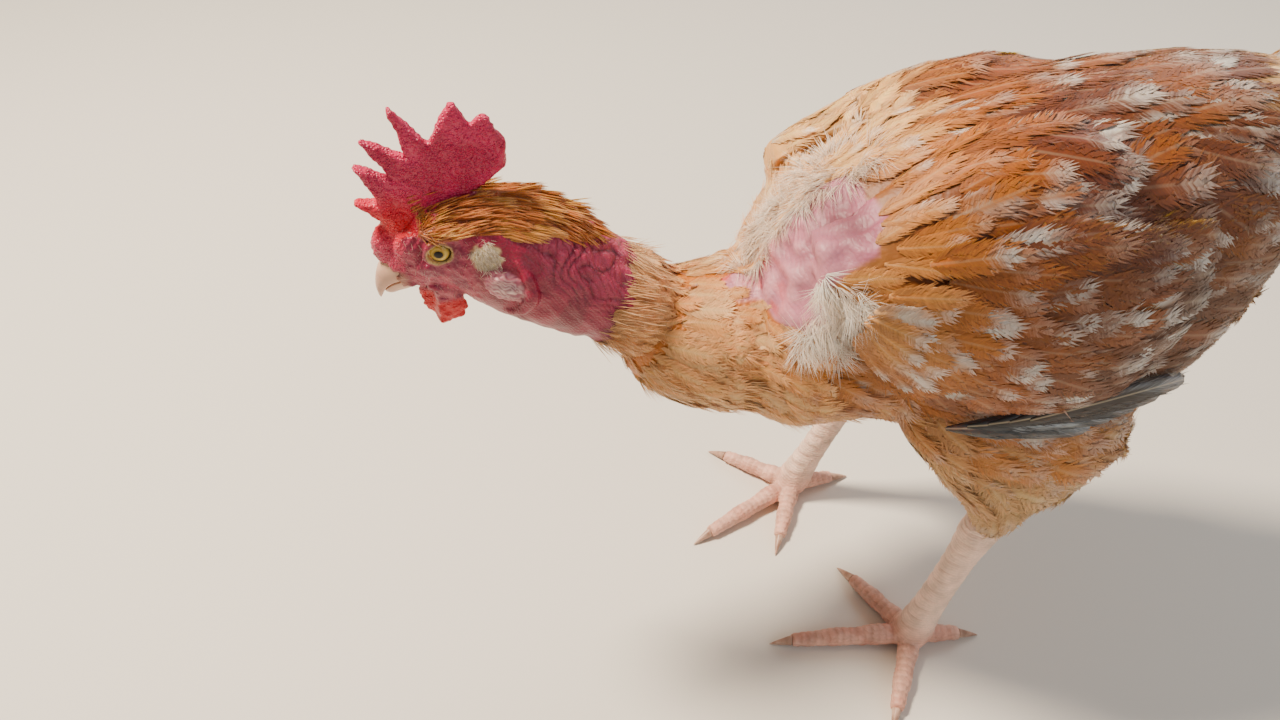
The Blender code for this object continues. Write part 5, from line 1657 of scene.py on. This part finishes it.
def makeLight(name, place, target, size, power, tone):
    data = bpy.data.lights.new(name, "AREA")
    data.shape = "DISK"
    data.size = size
    data.energy = power
    data.color = linear(tone)
    lamp = bpy.data.objects.new(name, data)
    lamp.location = place
    lamp.rotation_euler = (Vector(target) - Vector(place)).to_track_quat("-Z", "Y").to_euler()
    bpy.context.scene.collection.objects.link(lamp)


# each lamp's place and target, its size across in metres, its watts and its tone
lamps = {
    "key": ((-0.30, -0.80, 1.40), (0, 0, 0.2), 0.30, 62, "FFECD2"),
    "fill": ((1.2, 0.9, 0.9), (0, 0, 0.15), 1.2, 7, "F2F2FA"),
    "rear": ((-0.9, 0.9, 1.1), (0, 0.05, 0.2), 0.9, 8, "FFFFFF"),
}


def makeStudio():
    material, _, shader = newMaterial("pale_paper", 0.9)
    shader.inputs["Base Color"].default_value = (*linear("DDD8D0"), 1)
    floor = makeObject("floor", [(-6, -6, -0.0005), (6, -6, -0.0005), (6, 6, -0.0005), (-6, 6, -0.0005)],
                       [(0, 1, 2, 3)])
    floor.data.materials.append(material)
    for name, lamp in lamps.items():
        makeLight(name, *lamp)
    world = bpy.data.worlds.new("studio")
    bpy.context.scene.world = world
    world.use_nodes = True
    sky = world.node_tree.nodes["Background"].inputs
    sky["Color"].default_value = (*linear("F2EEE6"), 1)
    sky["Strength"].default_value = 0.36


makeCamera()
makeStudio()
bodySkin = makeBodySkin()
rideAndReplace(bodySkin, "red_skin", "torso", "thigh_left", "thigh_right")
headSkin = makeHeadSkin()
rideAndReplace(headSkin, "red_skin", "head", "neck", "comb", "wattle_left", "wattle_right", "earlobe_left",
               "earlobe_right")
makeBeak()
makeEyes()
makeClaws()
legMaterial = makeSkinMaterial("scaled_leg_skin", 0.5, 700.0, 0.1)
for legWord, legPlan in legs.items():
    makeLegSkin(legWord, legPlan)

coatTree = makeCoatTree()
featherFinish = makeFeatherMaterial("feather_web")
quillFinish = makeFeatherMaterial("quill_web", 0.1, 0.5, 0.35)
downFinish = makeFeatherMaterial("down", 0.4, 0.7, 0.0)
contourKind, looseKind, strandKind, quillKind = (
    templateSet(word, [featherShape(featherPlans[word], seed) for seed in range(first, last)])
    for word, first, last in (("contour", 1, 7), ("loose", 11, 17), ("strand", 21, 25), ("quill", 31, 37)))
downKind = templateSet("down", [plumeShape(36, 0.9, s, 0.011, 0.35) for s in range(41, 46)])
lockKind = templateSet("lock", [plumeShape(18, 0.30, s, 0.014, 0.2, (-0.1, 0.2)) for s in range(51, 55)])
for sideSign, sideWord in ((1, "left"), (-1, "right")):
    makeBackCoat(bodySkin, sideSign, sideWord)
    makeBellyCoat(bodySkin, sideSign, sideWord)
makeShoulderDown(bodySkin)
makeTuft(bodySkin, headSkin)
makeCap(headSkin)
makeBristles(headSkin)
makeWing(1, "left", 311)
makeWing(-1, "right", 312)
makeTail()
